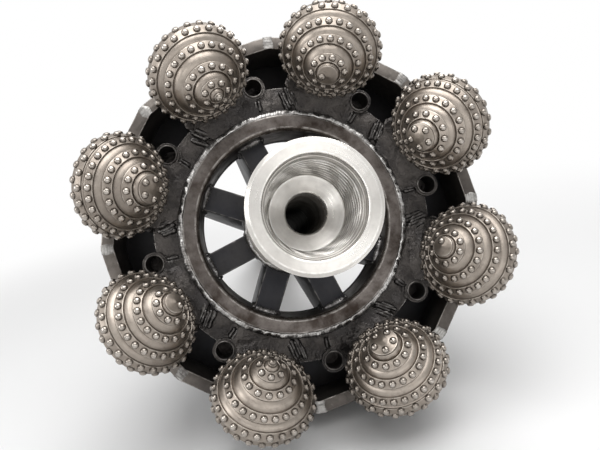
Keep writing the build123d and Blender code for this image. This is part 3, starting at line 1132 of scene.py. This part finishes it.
@dataclass
class RollerCone:
    """A studded roller cone on its journal: turned steel with domed carbide inserts."""

    number: int
    kind: ConeKind
    spin: float
    cutter_radius: float = 356.0
    journal_lean: float = 48.0
    back: float = -23.0
    back_radius: float = 79.5
    shoulder: float = -3.0
    shoulder_radius: float = 101.5
    bearing_radius: float = 52.0
    bearing_end: float = 45.0
    pilot_radius: float = 26.0
    pilot_end: float = 75.0
    insert_radius: float = 7.3
    insert_sink: float = 2.0
    insert_barrel: float = 0.8
    groove_sag: float = 0.1
    groove_steps: int = 7
    edge_reach: float = 1.2
    segments: int = 96

    def axes(self) -> np.ndarray:
        """Give the rows across, beside and along the journal, in the tool frame.

        Returns:
            Three unit vectors, turned with the cone.
        """
        lean = radians(self.journal_lean)
        across = np.array((np.cos(lean), 0.0, np.sin(lean)))
        along = np.array((-np.sin(lean), 0.0, np.cos(lean)))
        local = np.stack([across, np.cross(along, across), along])
        return turned(turn_matrix(self.spin) @ local, cutter_angle(self.number))

    def origin(self) -> np.ndarray:
        """Give the middle of the cone's gauge, in the tool frame."""
        return turned(np.array((self.cutter_radius, 0.0, 0.0)), cutter_angle(self.number))

    def hollow(self, first: Corner, last: Corner) -> list[Corner]:
        """Give points along the groove between the feet of two lands.

        The groove is a parabola over the chord: t (1 - t) times four times its sag.

        Args:
            first: Where the groove starts, as (radius, place).
            last: Where it ends.

        Returns:
            The points between the two ends.
        """
        start, end = np.array(first), np.array(last)
        chord = end - start
        t = np.linspace(0.0, 1.0, self.groove_steps)[1:-1, None]
        sag = np.array((chord[1], -chord[0])) * self.groove_sag
        return [tuple(point) for point in start + chord * t + sag * 4 * t * (1 - t)]

    def outline(self) -> list[Corner]:
        """Give the steel's outline from the bottom of its bearing, round the back, to the nose.

        Returns:
            Corners as (radius, place).
        """
        rows = self.kind.rows
        outline = [
            (0.0, self.pilot_end),
            (self.pilot_radius, self.pilot_end),
            (self.pilot_radius, self.bearing_end),
            (self.bearing_radius, self.bearing_end),
            (self.bearing_radius, self.back),
            (self.back_radius, self.back),
            (self.shoulder_radius, self.shoulder),
            rows[0].land_end(-1),
            rows[0].land_end(1),
        ]
        for outside, inside in zip(rows, rows[1:]):
            start, end = outside.land_foot(1), inside.land_foot(-1)
            outline += [start, *self.hollow(start, end), end, inside.land_end(-1)]
            if inside.radius > 0:
                outline.append(inside.land_end(1))
        return [*outline, (0.0, self.kind.nose)]

    def inserts(self) -> Patch:
        """Build every insert of the cone as copies of one dome.

        The dome is a short barrel under an ovoid: radius times a power of the cosine, and the height
        above the barrel times the sine. Each copy stands on its seat, square to the land.

        Returns:
            The inserts, in the tool frame.
        """
        rows = (replace(GAUGE_ROW, count=self.kind.rows[0].count), *self.kind.rows)
        seat, facing, onwards = (np.concatenate(parts) for parts in zip(*(row.seats() for row in rows)))
        height = np.repeat([row.projection for row in rows], [row.count for row in rows])[:, None, None]
        radius = self.insert_radius * np.cos(INSERT_RISE) ** INSERT_ROUNDNESS
        radius[-1] = 0.0
        domed = self.insert_barrel + (height - self.insert_barrel) * np.sin(INSERT_RISE)[None, :, None]
        domed[:, 0] = -self.insert_sink
        around = np.linspace(0.0, 2 * pi, INSERT_SIDES, endpoint=False)
        dome = round_points(radius[None, :, None], around, domed)
        stance = np.stack([onwards, np.cross(facing, onwards), facing], axis=1)
        local = np.einsum("nrck,nkl->nrcl", dome, stance) + seat[:, None, None]
        lengths = np.linspace(0.0, INSERT_TEXTURE_LENGTH, len(INSERT_RISE))
        uv = texture_grid(np.linspace(0.0, 1.0, INSERT_SIDES + 1), lengths)
        # Painted shade at the base of each insert and a lighter crown that is partly painted highlight.
        masks = {"wear": INSERT_WEAR_AND_HIGHLIGHT[:, None], "soot": INSERT_SOOT_AND_SHADE[:, None]}
        return Patch(self.origin() + local @ self.axes(), uv, masks)

    def build(self, shop: Workshop) -> None:
        """Make the cone's steel and its inserts, which turn together.

        Args:
            shop: Where the pieces are made.
        """
        name = f"cone_{self.number}"
        profile = Profile.rounded(self.outline(), self.edge_reach)
        steel = lathe(profile, self.segments, self.origin(), self.axes())
        shop.piece(f"{name}_steel", [steel], CONE_STEEL, name, (name,))
        shop.piece(f"{name}_inserts", [self.inserts()], CARBIDE, name)


@dataclass
class ThreadedJoint:
    """The thread of a tool joint: a taper with a helical groove of rounded flanks."""

    start_z: float
    end_z: float
    start_radius: float
    end_radius: float
    inside: bool
    pitch: float = 12.7
    height: float = 4.6
    flank: float = 1.5
    shade_lag: float = 0.12
    crest_wear: float = 0.6
    segments: int = SHAFT_SEGMENTS
    rows_per_pitch: int = 12

    def surface(self) -> Patch:
        """Work out the thread.

        The radius is the taper's, plus half the height times a clipped wave whose phase grows by one for
        each pitch along the axis and for each turn around it. The wave fades out at both ends. Painted shade
        and soot lie in the root and on the flank behind it, which is the one that shows from the end.

        Returns:
            The thread, in the tool frame.
        """
        length = abs(self.end_z - self.start_z)
        rows = int(length / self.pitch * self.rows_per_pitch)
        t = np.linspace(0.0, 1.0, rows)[:, None]
        around = np.linspace(0.0, 2 * pi, self.segments, endpoint=False)[None, :]
        phase = t * length / self.pitch + around / (2 * pi)
        wave = np.clip(self.flank * np.sin(2 * pi * phase), -1.0, 1.0)
        fade = np.clip(np.minimum(t, 1 - t) * length / self.pitch, 0.0, 1.0)
        taper = self.start_radius + (self.end_radius - self.start_radius) * t
        place = self.start_z + (self.end_z - self.start_z) * t
        points = round_points(taper + wave * fade * self.height / 2, around, place)
        uv = texture_grid(np.linspace(0.0, 1.0, self.segments + 1), t[:, 0] * length * MM)
        sign = 1.0 if self.inside else -1.0
        # Painted shade and soot in the thread's root and on its back flank.
        root = sign * fade * np.sin(2 * pi * (phase - sign * self.shade_lag))
        crest = np.clip(-sign * fade * wave, 0, 1) * self.crest_wear
        return Patch(points[None], uv, {"soot": np.clip(MASK_GAIN * root, 0, 1)[None], "wear": crest[None]})


@dataclass
class Shaft:
    """The shaft's three pieces: the box end in front, the hub and the tail with its pin."""

    box_face_z: float = 350.0
    bevel: float = 6.0
    box_bore_radius: float = 77.0
    box_bore_depth: float = 16.0
    box_lip: float = 1.5
    box_thread_radius: float = 74.5
    box_depth: float = 143.0
    box_floor_radius: float = 62.0
    box_floor_drop: float = 12.0
    box_throat: float = 10.0
    throat_lip: float = 2.0
    throat_lip_rise: float = 1.0
    box_band: float = 4.0
    barrel_dark_reflection: float = 0.8
    tail_shoulder_z: float = -1400.0
    tail_bevel: float = 3.0
    pin_length: float = 127.0
    pin_base_radius: float = 76.0
    pin_relief_radius: float = 73.0
    pin_relief_length: float = 14.0
    pin_chamfer: float = 5.0
    taper: float = 1 / 12
    hub_seam: float = 20.0
    edge_reach: float = 1.0
    floor_edge_reach: float = 1.5
    hub_edge_reach: float = 2.0
    segments: int = SHAFT_SEGMENTS

    def box_end(self) -> list[Patch]:
        """Build the box end: darker barrel, a painted dark reflection, bright face and counterbore, thread,
        floor and bore.

        Returns:
            Its surfaces.
        """
        face_z, lip = self.box_face_z, self.box_lip
        thread_z = face_z - self.box_bore_depth
        floor_z = face_z - self.box_depth
        throat_z = floor_z - self.box_floor_drop
        bore_z = throat_z - self.box_throat
        thread_end_radius = self.box_thread_radius - (thread_z - floor_z) * self.taper
        outside = Profile.rounded(
            [
                (WATER_BORE_RADIUS, HUB_FRONT_Z),
                (SHAFT_RADIUS, HUB_FRONT_Z),
                (SHAFT_RADIUS, face_z - self.bevel),
                (SHAFT_RADIUS - self.bevel, face_z),
                (self.box_bore_radius + lip, face_z),
                (self.box_bore_radius, face_z - lip),
                (self.box_bore_radius, thread_z),
                (self.box_thread_radius, thread_z),
            ],
            self.edge_reach,
        )
        radius, place = outside.points.T
        # The barrel takes the dark colour as a painted dark reflection of the room in front of it.
        barrel = (radius > self.box_bore_radius) & (place < face_z - self.bevel - self.box_band)
        outside = replace(outside, soot=np.where(barrel, self.barrel_dark_reflection, outside.soot))
        floor = Profile.rounded(
            [
                (thread_end_radius, floor_z),
                (self.box_floor_radius, floor_z),
                (WATER_BORE_RADIUS + self.throat_lip, throat_z + self.throat_lip_rise),
                (WATER_BORE_RADIUS, throat_z - self.throat_lip),
                (WATER_BORE_RADIUS, bore_z),
            ],
            self.floor_edge_reach,
        )
        bore = Profile.rounded([(WATER_BORE_RADIUS, z) for z in (bore_z, 0.0, HUB_FRONT_Z)], self.edge_reach)
        thread = ThreadedJoint(thread_z, floor_z, self.box_thread_radius, thread_end_radius, True)
        return [
            lathe(outside, self.segments),
            lathe(floor, self.segments),
            thread.surface(),
            # The water bore is darkened all over: painted shade inside the bore.
            lathe(bore, self.segments, soot=1.0),
        ]

    def tail(self) -> list[Patch]:
        """Build the tail: barrel and relief, thread of the pin, its nose and the bore.

        Returns:
            Its surfaces.
        """
        shoulder_z, lip = self.tail_shoulder_z, self.throat_lip
        relief_z = shoulder_z - self.pin_relief_length
        nose_z = shoulder_z - self.pin_length
        end_z = nose_z + self.pin_chamfer
        start_radius = self.pin_base_radius - self.pin_relief_length * self.taper
        nose_radius = self.pin_base_radius - self.pin_length * self.taper
        barrel = [
            (WATER_BORE_RADIUS, HUB_REAR_Z),
            (SHAFT_RADIUS, HUB_REAR_Z),
            (SHAFT_RADIUS, shoulder_z + self.tail_bevel),
            (SHAFT_RADIUS - self.tail_bevel, shoulder_z),
            (self.pin_relief_radius, shoulder_z),
            (self.pin_relief_radius, relief_z),
            (start_radius, relief_z),
        ]
        nose = [
            (nose_radius, end_z),
            (nose_radius - self.pin_chamfer, nose_z),
            (WATER_BORE_RADIUS + lip, nose_z),
            (WATER_BORE_RADIUS, nose_z + lip),
            (WATER_BORE_RADIUS, HUB_REAR_Z),
        ]
        thread = ThreadedJoint(relief_z, end_z, start_radius, nose_radius, False)
        return [
            lathe(Profile.rounded(barrel, self.edge_reach, outside=-1), self.segments),
            thread.surface(),
            lathe(Profile.rounded(nose, self.edge_reach, outside=-1), self.segments),
        ]

    def hub(self) -> list[Patch]:
        """Build the hub, a plain barrel around the water bore.

        Returns:
            Its surface.
        """
        outline = [
            (WATER_BORE_RADIUS, HUB_FRONT_Z - self.hub_seam),
            (WATER_BORE_RADIUS, HUB_FRONT_Z),
            (HUB_RADIUS, HUB_FRONT_Z),
            (HUB_RADIUS, HUB_REAR_Z),
            (WATER_BORE_RADIUS, HUB_REAR_Z),
            (WATER_BORE_RADIUS, HUB_FRONT_Z - self.hub_seam),
        ]
        return [lathe(Profile.rounded(outline, self.hub_edge_reach, outside=-1), self.segments)]

    def build(self, shop: Workshop) -> None:
        """Make the box end, the hub and the tail.

        Args:
            shop: Where the pieces are made.
        """
        shop.piece("box_end", self.box_end(), MACHINED_STEEL, stands_for=("box_shaft",))
        shop.piece("hub_barrel", self.hub(), SHAFT_STEEL, stands_for=("hub",))
        shop.piece("tail_end", self.tail(), SHAFT_STEEL, stands_for=("pin_shaft",))


@dataclass(frozen=True)
class WeldBead:
    """A weld bead: a low round section that is carried along a path and rippled."""

    width: float
    height: float
    seed: int
    ripple: float = 0.26
    blunt: bool = False
    step: float = 2.2
    sides: int = 10
    underside: float = -0.5
    ripple_length: float = 6.0
    ripple_bend: float = 0.35
    ripple_drift: float = 0.3
    waves: tuple[float, ...] = (0.011, 0.027, 0.051)
    wander: float = 0.28
    swell: float = 0.3
    taper: float = 0.6
    least_points: int = 8
    crest_wear: float = 0.8
    crease_shade: float = 0.3
    ripple_shade: float = 2.0

    def straight(self, start: Point, end: Point, facing: Point, angle: float) -> Patch:
        """Lay the bead straight, in the plane of a cutter or an arm.

        Args:
            start: Where it starts, before the turn about the shaft.
            end: Where it ends.
            facing: Which way it faces.
            angle: The turn about the shaft in degrees.

        Returns:
            The bead.
        """
        first, last = np.array(start, dtype=float), np.array(end, dtype=float)
        count = max(int(np.linalg.norm(last - first) / self.step), self.least_points)
        path = first + (last - first) * np.linspace(0.0, 1.0, count)[:, None]
        normal = np.broadcast_to(np.array(facing, dtype=float), path.shape)
        return self.carried(turned(path, angle), turned(normal, angle))

    def around(self, radius: float, place: float, facing: Corner) -> Patch:
        """Lay the bead all the way around the shaft's axis.

        Args:
            radius: The circle's radius.
            place: The circle's place along the shaft.
            facing: Which way it faces, outwards and forwards.

        Returns:
            The bead.
        """
        count = int(2 * pi * radius / self.step)
        around = np.linspace(0.0, 2 * pi, count, endpoint=False)
        path, normal = round_points(radius, around, place), round_points(facing[0], around, facing[1])
        return self.carried(path, normal, closed=True)

    def carried(self, path: np.ndarray, normal: np.ndarray, closed: bool = False) -> Patch:
        """Carry the section along a path.

        Across the bead the section is cosine times half the width and sine times the height, flat below.
        Along it the height swells with each ripple, whose front bends back towards the bead's edges, and
        the width wanders by a sum of slow sines. An open bead tapers to a point at both ends unless it is
        blunt.

        Args:
            path: Points along the bead, in the tool frame.
            normal: Which way the bead faces at each point.
            closed: Whether the path joins up.

        Returns:
            The bead.
        """
        draw = np.random.default_rng(self.seed)
        ahead = np.roll(path, -1, axis=0) - np.roll(path, 1, axis=0) if closed else np.gradient(path, axis=0)
        tangent = unit(ahead)
        side = unit(np.cross(tangent, normal))
        out = np.cross(side, tangent)
        along = distances(path)
        total = float(along[-1] + (np.linalg.norm(path[0] - path[-1]) if closed else 0.0))
        share = along[:, None] / max(total, 1.0)
        section = np.linspace(0.0, 2 * pi, self.sides, endpoint=False)
        across, rise = np.cos(section), np.maximum(np.sin(section), self.underside)
        waves = np.round(np.array(self.waves) * total).clip(1.0)
        shifts = draw.uniform(0.0, 2 * pi, (len(waves), 2))
        wander, swell = (np.sin(2 * pi * waves * share + shift).mean(axis=1) for shift in shifts.T)
        ripples = max(round(total / self.ripple_length), 1)
        phase = ripples * share - self.ripple_bend * across**2 + self.ripple_drift * wander[:, None]
        lobe = np.abs(np.sin(pi * phase))
        size = np.ones(len(path))
        if not closed and not self.blunt:
            size = np.sqrt(np.clip(np.minimum(along, total - along) / (self.taper * self.width), 0.0, 1.0))
        half = self.width / 2 * (1 + self.wander * wander) * size
        lift = self.height * (1 + self.swell * swell) * size
        level = rise * np.where(rise > 0, 1.0 - self.ripple + self.ripple * lobe, 1.0)
        points = (
            path[:, None]
            + side[:, None] * (half[:, None] * across)[..., None]
            + out[:, None] * (lift[:, None] * level)[..., None]
        )
        lengths = np.append(along, total) if closed else along
        uv = texture_grid(np.linspace(0.0, self.width * MM, self.sides + 1), lengths * MM)
        # Painted shade and soot in the creases between ripples; the crests are worn lighter.
        crease = (1 - lobe) ** 3 * (self.crease_shade + self.ripple_shade * self.ripple)
        crest = lobe * np.clip(rise, 0, 1) * self.crest_wear
        masks = {"soot": np.clip(crease, 0, 1)[None], "wear": crest[None]}
        return Patch(points[None], uv, masks, closed_rows=closed)


@dataclass(frozen=True)
class Seam:
    """Passes laid side by side: the line of the seam, the way across it, and the passes' spacing."""

    start: Corner
    end: Corner
    across: Corner
    count: int
    spacing: float
    first: float
    slope: float = 0.69

    def line(self, index: int, drift: float, trim: Iterable[float], fan: Iterable[float]) -> np.ndarray:
        """Give one pass: the seam's line moved across, cut back along the slope and fanned out.

        Args:
            index: Which pass it is.
            drift: How far it strays across the seam.
            trim: How far its start and its end are cut back.
            fan: How far its start and its end stray upwards.

        Returns:
            Its start and its end, each as (outwards, upwards).
        """
        away = self.spacing * index + self.first + drift
        inwards = np.array(trim) * np.array((1.0, -1.0))
        (x, y), (across_x, across_y) = np.array((self.start, self.end)).T, self.across
        outwards = x + across_x * away + inwards
        return np.stack([outwards, y + across_y * away + self.slope * inwards + np.array(fan)], axis=1)


PLATE_SEAM = Seam((247.0, 38.5), (301.0, 76.0), (-0.57, 0.82), count=5, spacing=6.0, first=-5.0)
RING_SEAM = Seam((246.0, -76.0), (272.0, -86.0), (-0.35, -0.94), count=2, spacing=7.0, first=-3.0)
EVEN = (0.0, 0.0)
FORWARDS = (0.0, 0.0, 1.0)
OUTWARDS = (1.0, 0.0, 0.0)


@dataclass
class WeldedBody:
    """The ring, arms, legs, plates and rim, with the welds that join them."""

    ring_outer: float = 240.0
    ring_inner: float = 204.0
    ring_front: float = -105.0
    ring_rear: float = -220.0
    ring_bevel: float = 6.0
    ring_seam: float = 30.0
    ring_edge_reach: float = 2.5
    ring_segments: int = 180
    ring_ripple: float = 0.14
    leg_front: float = -118.0
    leg_half_width: float = 68.0
    rim_corner: float = 412.0
    rim_thickness: float = 27.0
    rim_lag: float = 3.3
    rim_at_leg: float = 397.5
    rim_front: float = -95.0
    plate_radius: float = 396.0
    arm_thickness: float = 56.0
    arm_lag: float = 6.0
    arm_front: float = -148.0
    arm_weld_front: float = -150.0
    arm_weld_ring_rear: float = -236.0
    arm_weld_hub_rear: float = -688.0
    arm_weld_plate: float = -246.0
    arm_weld_reach: float = 376.0
    seam_sink: float = 4.0
    seam_drift: float = 1.5
    seam_trim: float = 16.0
    seam_fan: float = 2.0
    seam_width: Corner = (9.0, 13.0)
    seam_height: Corner = (4.6, 6.6)
    seam_ripple: float = 0.08
    nozzle_radius: float = 312.0
    nozzle_lag: float = 17.5
    sleeve_radius: float = 21.5
    sleeve_seam: float = 20.0
    sleeve_lip: float = 1.0
    sleeve_edge_reach: float = 0.8
    sleeve_segments: int = 32
    nozzle_bore: float = 18.5
    nozzle_depth: float = 70.0
    nozzle_proud: float = 3.0

    def build(self, shop: Workshop) -> None:
        """Make the ring, the nozzles, the softened plates, arms, legs and rim, and the welds.

        Args:
            shop: Where the pieces are made.
        """
        shop.piece("ring_turned", [self.ring()], RING_STEEL, stands_for=("hub_ring",))
        shop.piece("nozzle_sleeves", self.nozzles(), NOZZLE_STEEL, stands_for=("nozzles",))
        shop.softened("back_plate", PLATE_STEEL, 2.0)
        shop.softened("webs", LEG_STEEL, 2.0)
        for number in CUTTERS:
            shop.softened(f"arm_{number}", PLATE_STEEL, 2.5)
            shop.softened(f"rim_{number}", RIM_STEEL, 2.0)
            shop.softened(f"leg_{number}", LEG_STEEL, 2.5)
        shop.piece("ring_welds", self.ring_welds(), WELD_METAL)
        shop.piece("arm_welds", self.arm_welds(), ARM_WELD)
        shop.piece("leg_seams", self.leg_seams(), SEAM_WELD)
        shop.piece("rim_welds", self.rim_welds(), RIM_WELD)

    def ring(self) -> Patch:
        """Build the ring as a turned section.

        Returns:
            The ring.
        """
        inner, outer, front, rear = self.ring_inner, self.ring_outer, self.ring_front, self.ring_rear
        outline = [
            (inner, rear + self.ring_seam),
            (inner, rear),
            (outer, rear),
            (outer, front),
            (inner + self.ring_bevel, front),
            (inner, front - self.ring_bevel),
            (inner, rear + self.ring_seam),
        ]
        return lathe(Profile.rounded(outline, self.ring_edge_reach), self.ring_segments)

    def nozzles(self) -> list[Patch]:
        """Build the nozzle sleeves, with a rounded lip and a straight bore.

        Returns:
            The sleeves.
        """
        front = self.leg_front + self.nozzle_proud
        rear = self.leg_front - self.nozzle_depth
        radius, bore, lip = self.sleeve_radius, self.nozzle_bore, self.sleeve_lip
        outline = [
            (radius, rear + self.sleeve_seam),
            (radius, front - lip),
            (radius - lip, front),
            (bore, front),
            (bore, rear),
            (radius, rear),
            (radius, rear + self.sleeve_seam),
        ]
        profile = Profile.rounded(outline, self.sleeve_edge_reach)
        seat = turned(np.array((self.nozzle_radius, 0.0, 0.0)), -self.nozzle_lag)
        angles = [cutter_angle(number) for number in CUTTERS]
        return [lathe(profile, self.sleeve_segments, turned(seat, angle)) for angle in angles]

    def ring_welds(self) -> list[Patch]:
        """Lay the beads that run all the way around: ring, back plate and both ends of the hub.

        Returns:
            The beads.
        """
        beads = (
            (17.0, 7.5, 3, self.ring_outer + 3.5, self.leg_front + 4.0, (0.75, 0.65)),
            (12.0, 4.0, 5, self.plate_radius + 1.5, self.ring_rear - 2.0, (0.7, -0.7)),
            (12.0, 4.5, 7, HUB_RADIUS - 2.0, HUB_FRONT_Z + 1.0, (0.6, 0.8)),
            (12.0, 4.5, 11, HUB_RADIUS - 2.0, HUB_REAR_Z - 1.0, (0.6, -0.8)),
        )
        return [
            WeldBead(width, height, seed, self.ring_ripple).around(radius, place, facing)
            for width, height, seed, radius, place, facing in beads
        ]

    def arm_welds(self) -> list[Patch]:
        """Lay the beads along both sides and across the front ends of every arm.

        Returns:
            The beads.
        """
        beads = []
        half = self.arm_thickness / 2 + 1.0
        ring, hub, reach = self.ring_inner - 3.5, HUB_RADIUS - 3.0, self.arm_weld_reach
        front, plate = self.arm_weld_front, self.arm_weld_plate
        for number in CUTTERS:
            angle, seed = cutter_angle(number) - self.arm_lag, 40 * number
            for side in (-1.0, 1.0):
                y = half * side
                runs = (
                    ((ring, y, self.arm_weld_ring_rear), (ring, y, front), (-1, side, 0)),
                    ((hub, y, self.arm_weld_hub_rear), (hub, y, front), (1, side, 0)),
                    ((self.ring_inner + 6.0, y, plate), (reach, y, plate), (0, side, -1)),
                )
                for index, run in enumerate(runs):
                    bead = WeldBead(13.0, 5.0, seed + index + 5 * (side > 0))
                    beads.append(bead.straight(*run, angle))
            for index, (x, facing) in enumerate(((ring + 0.5, (-1, 0, 1)), (hub + 1.0, (1, 0, 1)))):
                start, end = ((x, y, self.arm_front) for y in (2.0 - half, half - 2.0))
                beads.append(WeldBead(15.0, 6.0, seed + 14 + index).straight(start, end, facing, angle))
        return beads

    def leg_seams(self) -> list[Patch]:
        """Lay the passes side by side that join each leg to the filler plates and to the ring.

        Returns:
            The beads.
        """
        beads = []
        place = self.leg_front - self.seam_sink
        for number in CUTTERS:
            draw = np.random.default_rng(700 + number)
            passes = []
            for index in range(PLATE_SEAM.count):
                drift = draw.uniform(-self.seam_drift, self.seam_drift)
                trim = draw.uniform(0.0, self.seam_trim, 2)
                fan = draw.uniform(-self.seam_fan, self.seam_fan, 2)
                width, height = draw.uniform(*self.seam_width), draw.uniform(*self.seam_height)
                bead = WeldBead(width, height, 500 + 9 * number + index, self.seam_ripple)
                passes.append((bead, PLATE_SEAM.line(index, drift, trim, fan)))
            for index in range(RING_SEAM.count):
                drift = draw.uniform(-self.seam_drift, self.seam_drift)
                bead = WeldBead(10.0, 5.2, 600 + 9 * number + index, self.seam_ripple)
                passes.append((bead, RING_SEAM.line(index, drift, EVEN, EVEN)))
            for bead, (start, end) in passes:
                beads.append(bead.straight((*start, place), (*end, place), FORWARDS, cutter_angle(number)))
        return beads

    def rim_welds(self) -> list[Patch]:
        """Lay the flat patches at the rim's corners and the beads where the rim meets the legs.

        Returns:
            The beads.
        """
        beads = []
        front, rear, outer = self.rim_front, self.ring_rear, self.rim_corner
        inner, edge = outer - self.rim_thickness, outer - 4.0
        for number in CUTTERS:
            angle, seed = cutter_angle(number), 40 * number
            for side in (-1.0, 1.0):
                y = (self.leg_half_width + 0.5) * side
                start, end = ((self.rim_at_leg, y, z) for z in (rear + 6.0, front - 3.0))
                bead = WeldBead(11.0, 4.0, seed + 12 + (side > 0))
                beads.append(bead.straight(start, end, (1, side, 0), angle))
            gap = angle + CUTTER_PITCH / 2 - self.rim_lag
            patch = WeldBead(21.0, 1.6, seed + 30, blunt=True)
            beads.append(patch.straight((inner, 0, front), (outer - 1.5, 0, front), FORWARDS, gap))
            corner = WeldBead(17.0, 3.4, seed + 31, blunt=True)
            beads.append(corner.straight((edge, 0, front - 1.0), (edge, 0, rear + 2.0), OUTWARDS, gap))
        return beads


# Studio


@dataclass(frozen=True)
class Lamp:
    """A soft square lamp: where it hangs, the point that it faces, its side and its power."""

    name: str
    place: Point
    aim: Point
    size: float
    power: float

    def hang(self) -> None:
        """Add the lamp to the scene, turned towards its aim."""
        light = bpy.data.lights.new(self.name, "AREA")
        light.energy = self.power
        light.size = self.size
        lamp = bpy.data.objects.new(self.name, light)
        lamp.location = self.place
        toward = Vector(self.aim) - Vector(self.place)
        lamp.rotation_euler = toward.to_track_quat("-Z", "Y").to_euler()
        bpy.context.scene.collection.objects.link(lamp)


LAMPS = (
    Lamp("overhead", (0.2, -1.3, 2.9), (0.0, -0.35, 0.4), 2.6, 75.0),
    Lamp("left", (-2.8, -1.6, 1.6), (0.0, -0.3, 0.4), 1.6, 26.0),
    Lamp("front", (0.7, -3.9, 2.0), (0.0, -0.6, 0.45), 1.2, 3.0),
    Lamp("low_left", (-1.5, -3.6, 0.9), (0.0, -0.6, 0.45), 1.0, 7.0),
    Lamp("low_right", (1.6, -3.6, 0.35), (0.0, -0.6, 0.45), 1.0, 6.0),
    Lamp("low_front", (0.2, -3.9, 0.6), (0.0, -0.5, 0.3), 1.2, 6.0),
    Lamp("behind", (1.6, 2.6, 2.4), (0.0, 0.3, 0.4), 1.8, 45.0),
)


@dataclass
class Studio:
    """The floor, the world, the lamps and the camera, none of them part of the object."""

    camera_place: Point = (-0.1015, -1.7334, 0.7124)
    camera_turn: Point = (76.953, 10.057, -7.457)
    lens: float = 36.0
    sensor: float = 36.0
    floor_reach: float = 40.0
    floor_tone: float = 0.8
    floor_roughness: float = 0.9
    fade_start: float = 0.9
    fade_end: float = 2.6
    sky_level: float = 0.4
    near_level: float = 0.6
    sky_slope: Point = (0.0, 0.6, 0.8)
    sky_band: Corner = (-0.35, 0.55)

    def build(self) -> None:
        """Make the camera, lamps, world and floor."""
        bpy.context.scene.view_settings.view_transform = "Standard"
        self.camera()
        for lamp in LAMPS:
            lamp.hang()
        self.world()
        self.floor()

    def camera(self) -> None:
        """Set up the camera at the photograph's viewing angle."""
        scene = bpy.context.scene
        lens = bpy.data.cameras.new("camera")
        lens.lens = self.lens
        lens.sensor_width = self.sensor
        camera = bpy.data.objects.new("camera", lens)
        camera.location = self.camera_place
        camera.rotation_euler = tuple(radians(angle) for angle in self.camera_turn)
        scene.collection.objects.link(camera)
        scene.camera = camera

    def world(self) -> None:
        """Make a world that is white where it is seen and dimmer where it lights the object.

        In reflections it is white above and beyond the object and falls off to the level of an unlit
        room on the near side, by a smooth step along the direction.
        """
        world = bpy.data.worlds.new("studio")
        world.use_nodes = True
        bench = Bench(world.node_tree)
        background = world.node_tree.nodes["Background"]
        bench.feed(background.inputs["Color"], (1.0, 1.0, 1.0))
        slope = bench.node("ShaderNodeVectorMath", operation="DOT_PRODUCT")
        bench.feed(slope.inputs[0], bench.node("ShaderNodeTexCoord").outputs["Generated"])
        bench.feed(slope.inputs[1], self.sky_slope)
        path = bench.node("ShaderNodeLightPath").outputs
        mirrored = bench.band(slope.outputs["Value"], *self.sky_band, self.near_level, 1.0)
        glossy = bench.times(path["Is Glossy Ray"], mirrored)
        shown = bench.math("MAXIMUM", path["Is Camera Ray"], path["Is Transmission Ray"])
        level = bench.math("MAXIMUM", bench.math("MAXIMUM", shown, glossy), self.sky_level)
        bench.feed(background.inputs["Strength"], level)
        bpy.context.scene.world = world

    def floor(self) -> None:
        """Lay a pale floor that keeps the shadow near the object and is white further away.

        Camera, glossy and transmission rays see the white, by a smooth step of the distance.
        """
        reach = self.floor_reach
        mesh = bpy.data.meshes.new("floor")
        corners = [(-reach, -reach, 0.0), (reach, -reach, 0.0), (reach, reach, 0.0), (-reach, reach, 0.0)]
        mesh.from_pydata(corners, [], [(0, 1, 2, 3)])
        material = bpy.data.materials.new("floor")
        material.use_nodes = True
        bench = Bench(material.node_tree)
        shader = material.node_tree.nodes["Principled BSDF"]
        bench.feed(shader.inputs["Base Color"], (self.floor_tone,) * 3)
        bench.feed(shader.inputs["Roughness"], self.floor_roughness)
        white = bench.node("ShaderNodeEmission")
        distance = bench.node("ShaderNodeVectorMath", operation="LENGTH")
        bench.feed(distance.inputs[0], bench.place())
        fade = bench.band(distance.outputs["Value"], self.fade_start, self.fade_end)
        path = bench.node("ShaderNodeLightPath").outputs
        seen = bench.math("MAXIMUM", path["Is Camera Ray"], path["Is Glossy Ray"])
        seen = bench.math("MAXIMUM", seen, path["Is Transmission Ray"])
        mixer = bench.node("ShaderNodeMixShader")
        bench.feed(mixer.inputs[0], bench.times(fade, seen))
        bench.feed(mixer.inputs[1], shader.outputs[0])
        bench.feed(mixer.inputs[2], white.outputs[0])
        bench.feed(material.node_tree.nodes["Material Output"].inputs["Surface"], mixer.outputs[0])
        mesh.materials.append(material)
        floor = bpy.data.objects.new("floor", mesh)
        bpy.context.scene.collection.objects.link(floor)


CONES = (
    RollerCone(1, ConeKind.DOME, 0.0),
    RollerCone(2, ConeKind.CAP, 7.0),
    RollerCone(3, ConeKind.SPEAR, 19.0),
    RollerCone(4, ConeKind.DOME, 31.0),
    RollerCone(5, ConeKind.CAP, 11.0),
    RollerCone(6, ConeKind.SPEAR, 26.0),
    RollerCone(7, ConeKind.DOME, 38.0),
    RollerCone(8, ConeKind.CAP, 3.0),
)


def main() -> None:
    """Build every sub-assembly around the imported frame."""
    logging.basicConfig(level=logging.INFO, format="%(message)s")
    shop = Workshop(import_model())
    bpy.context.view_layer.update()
    Studio().build()
    for cone in CONES:
        cone.build(shop)
    Shaft().build(shop)
    WeldedBody().build(shop)


if __name__ == "__main__":
    main()
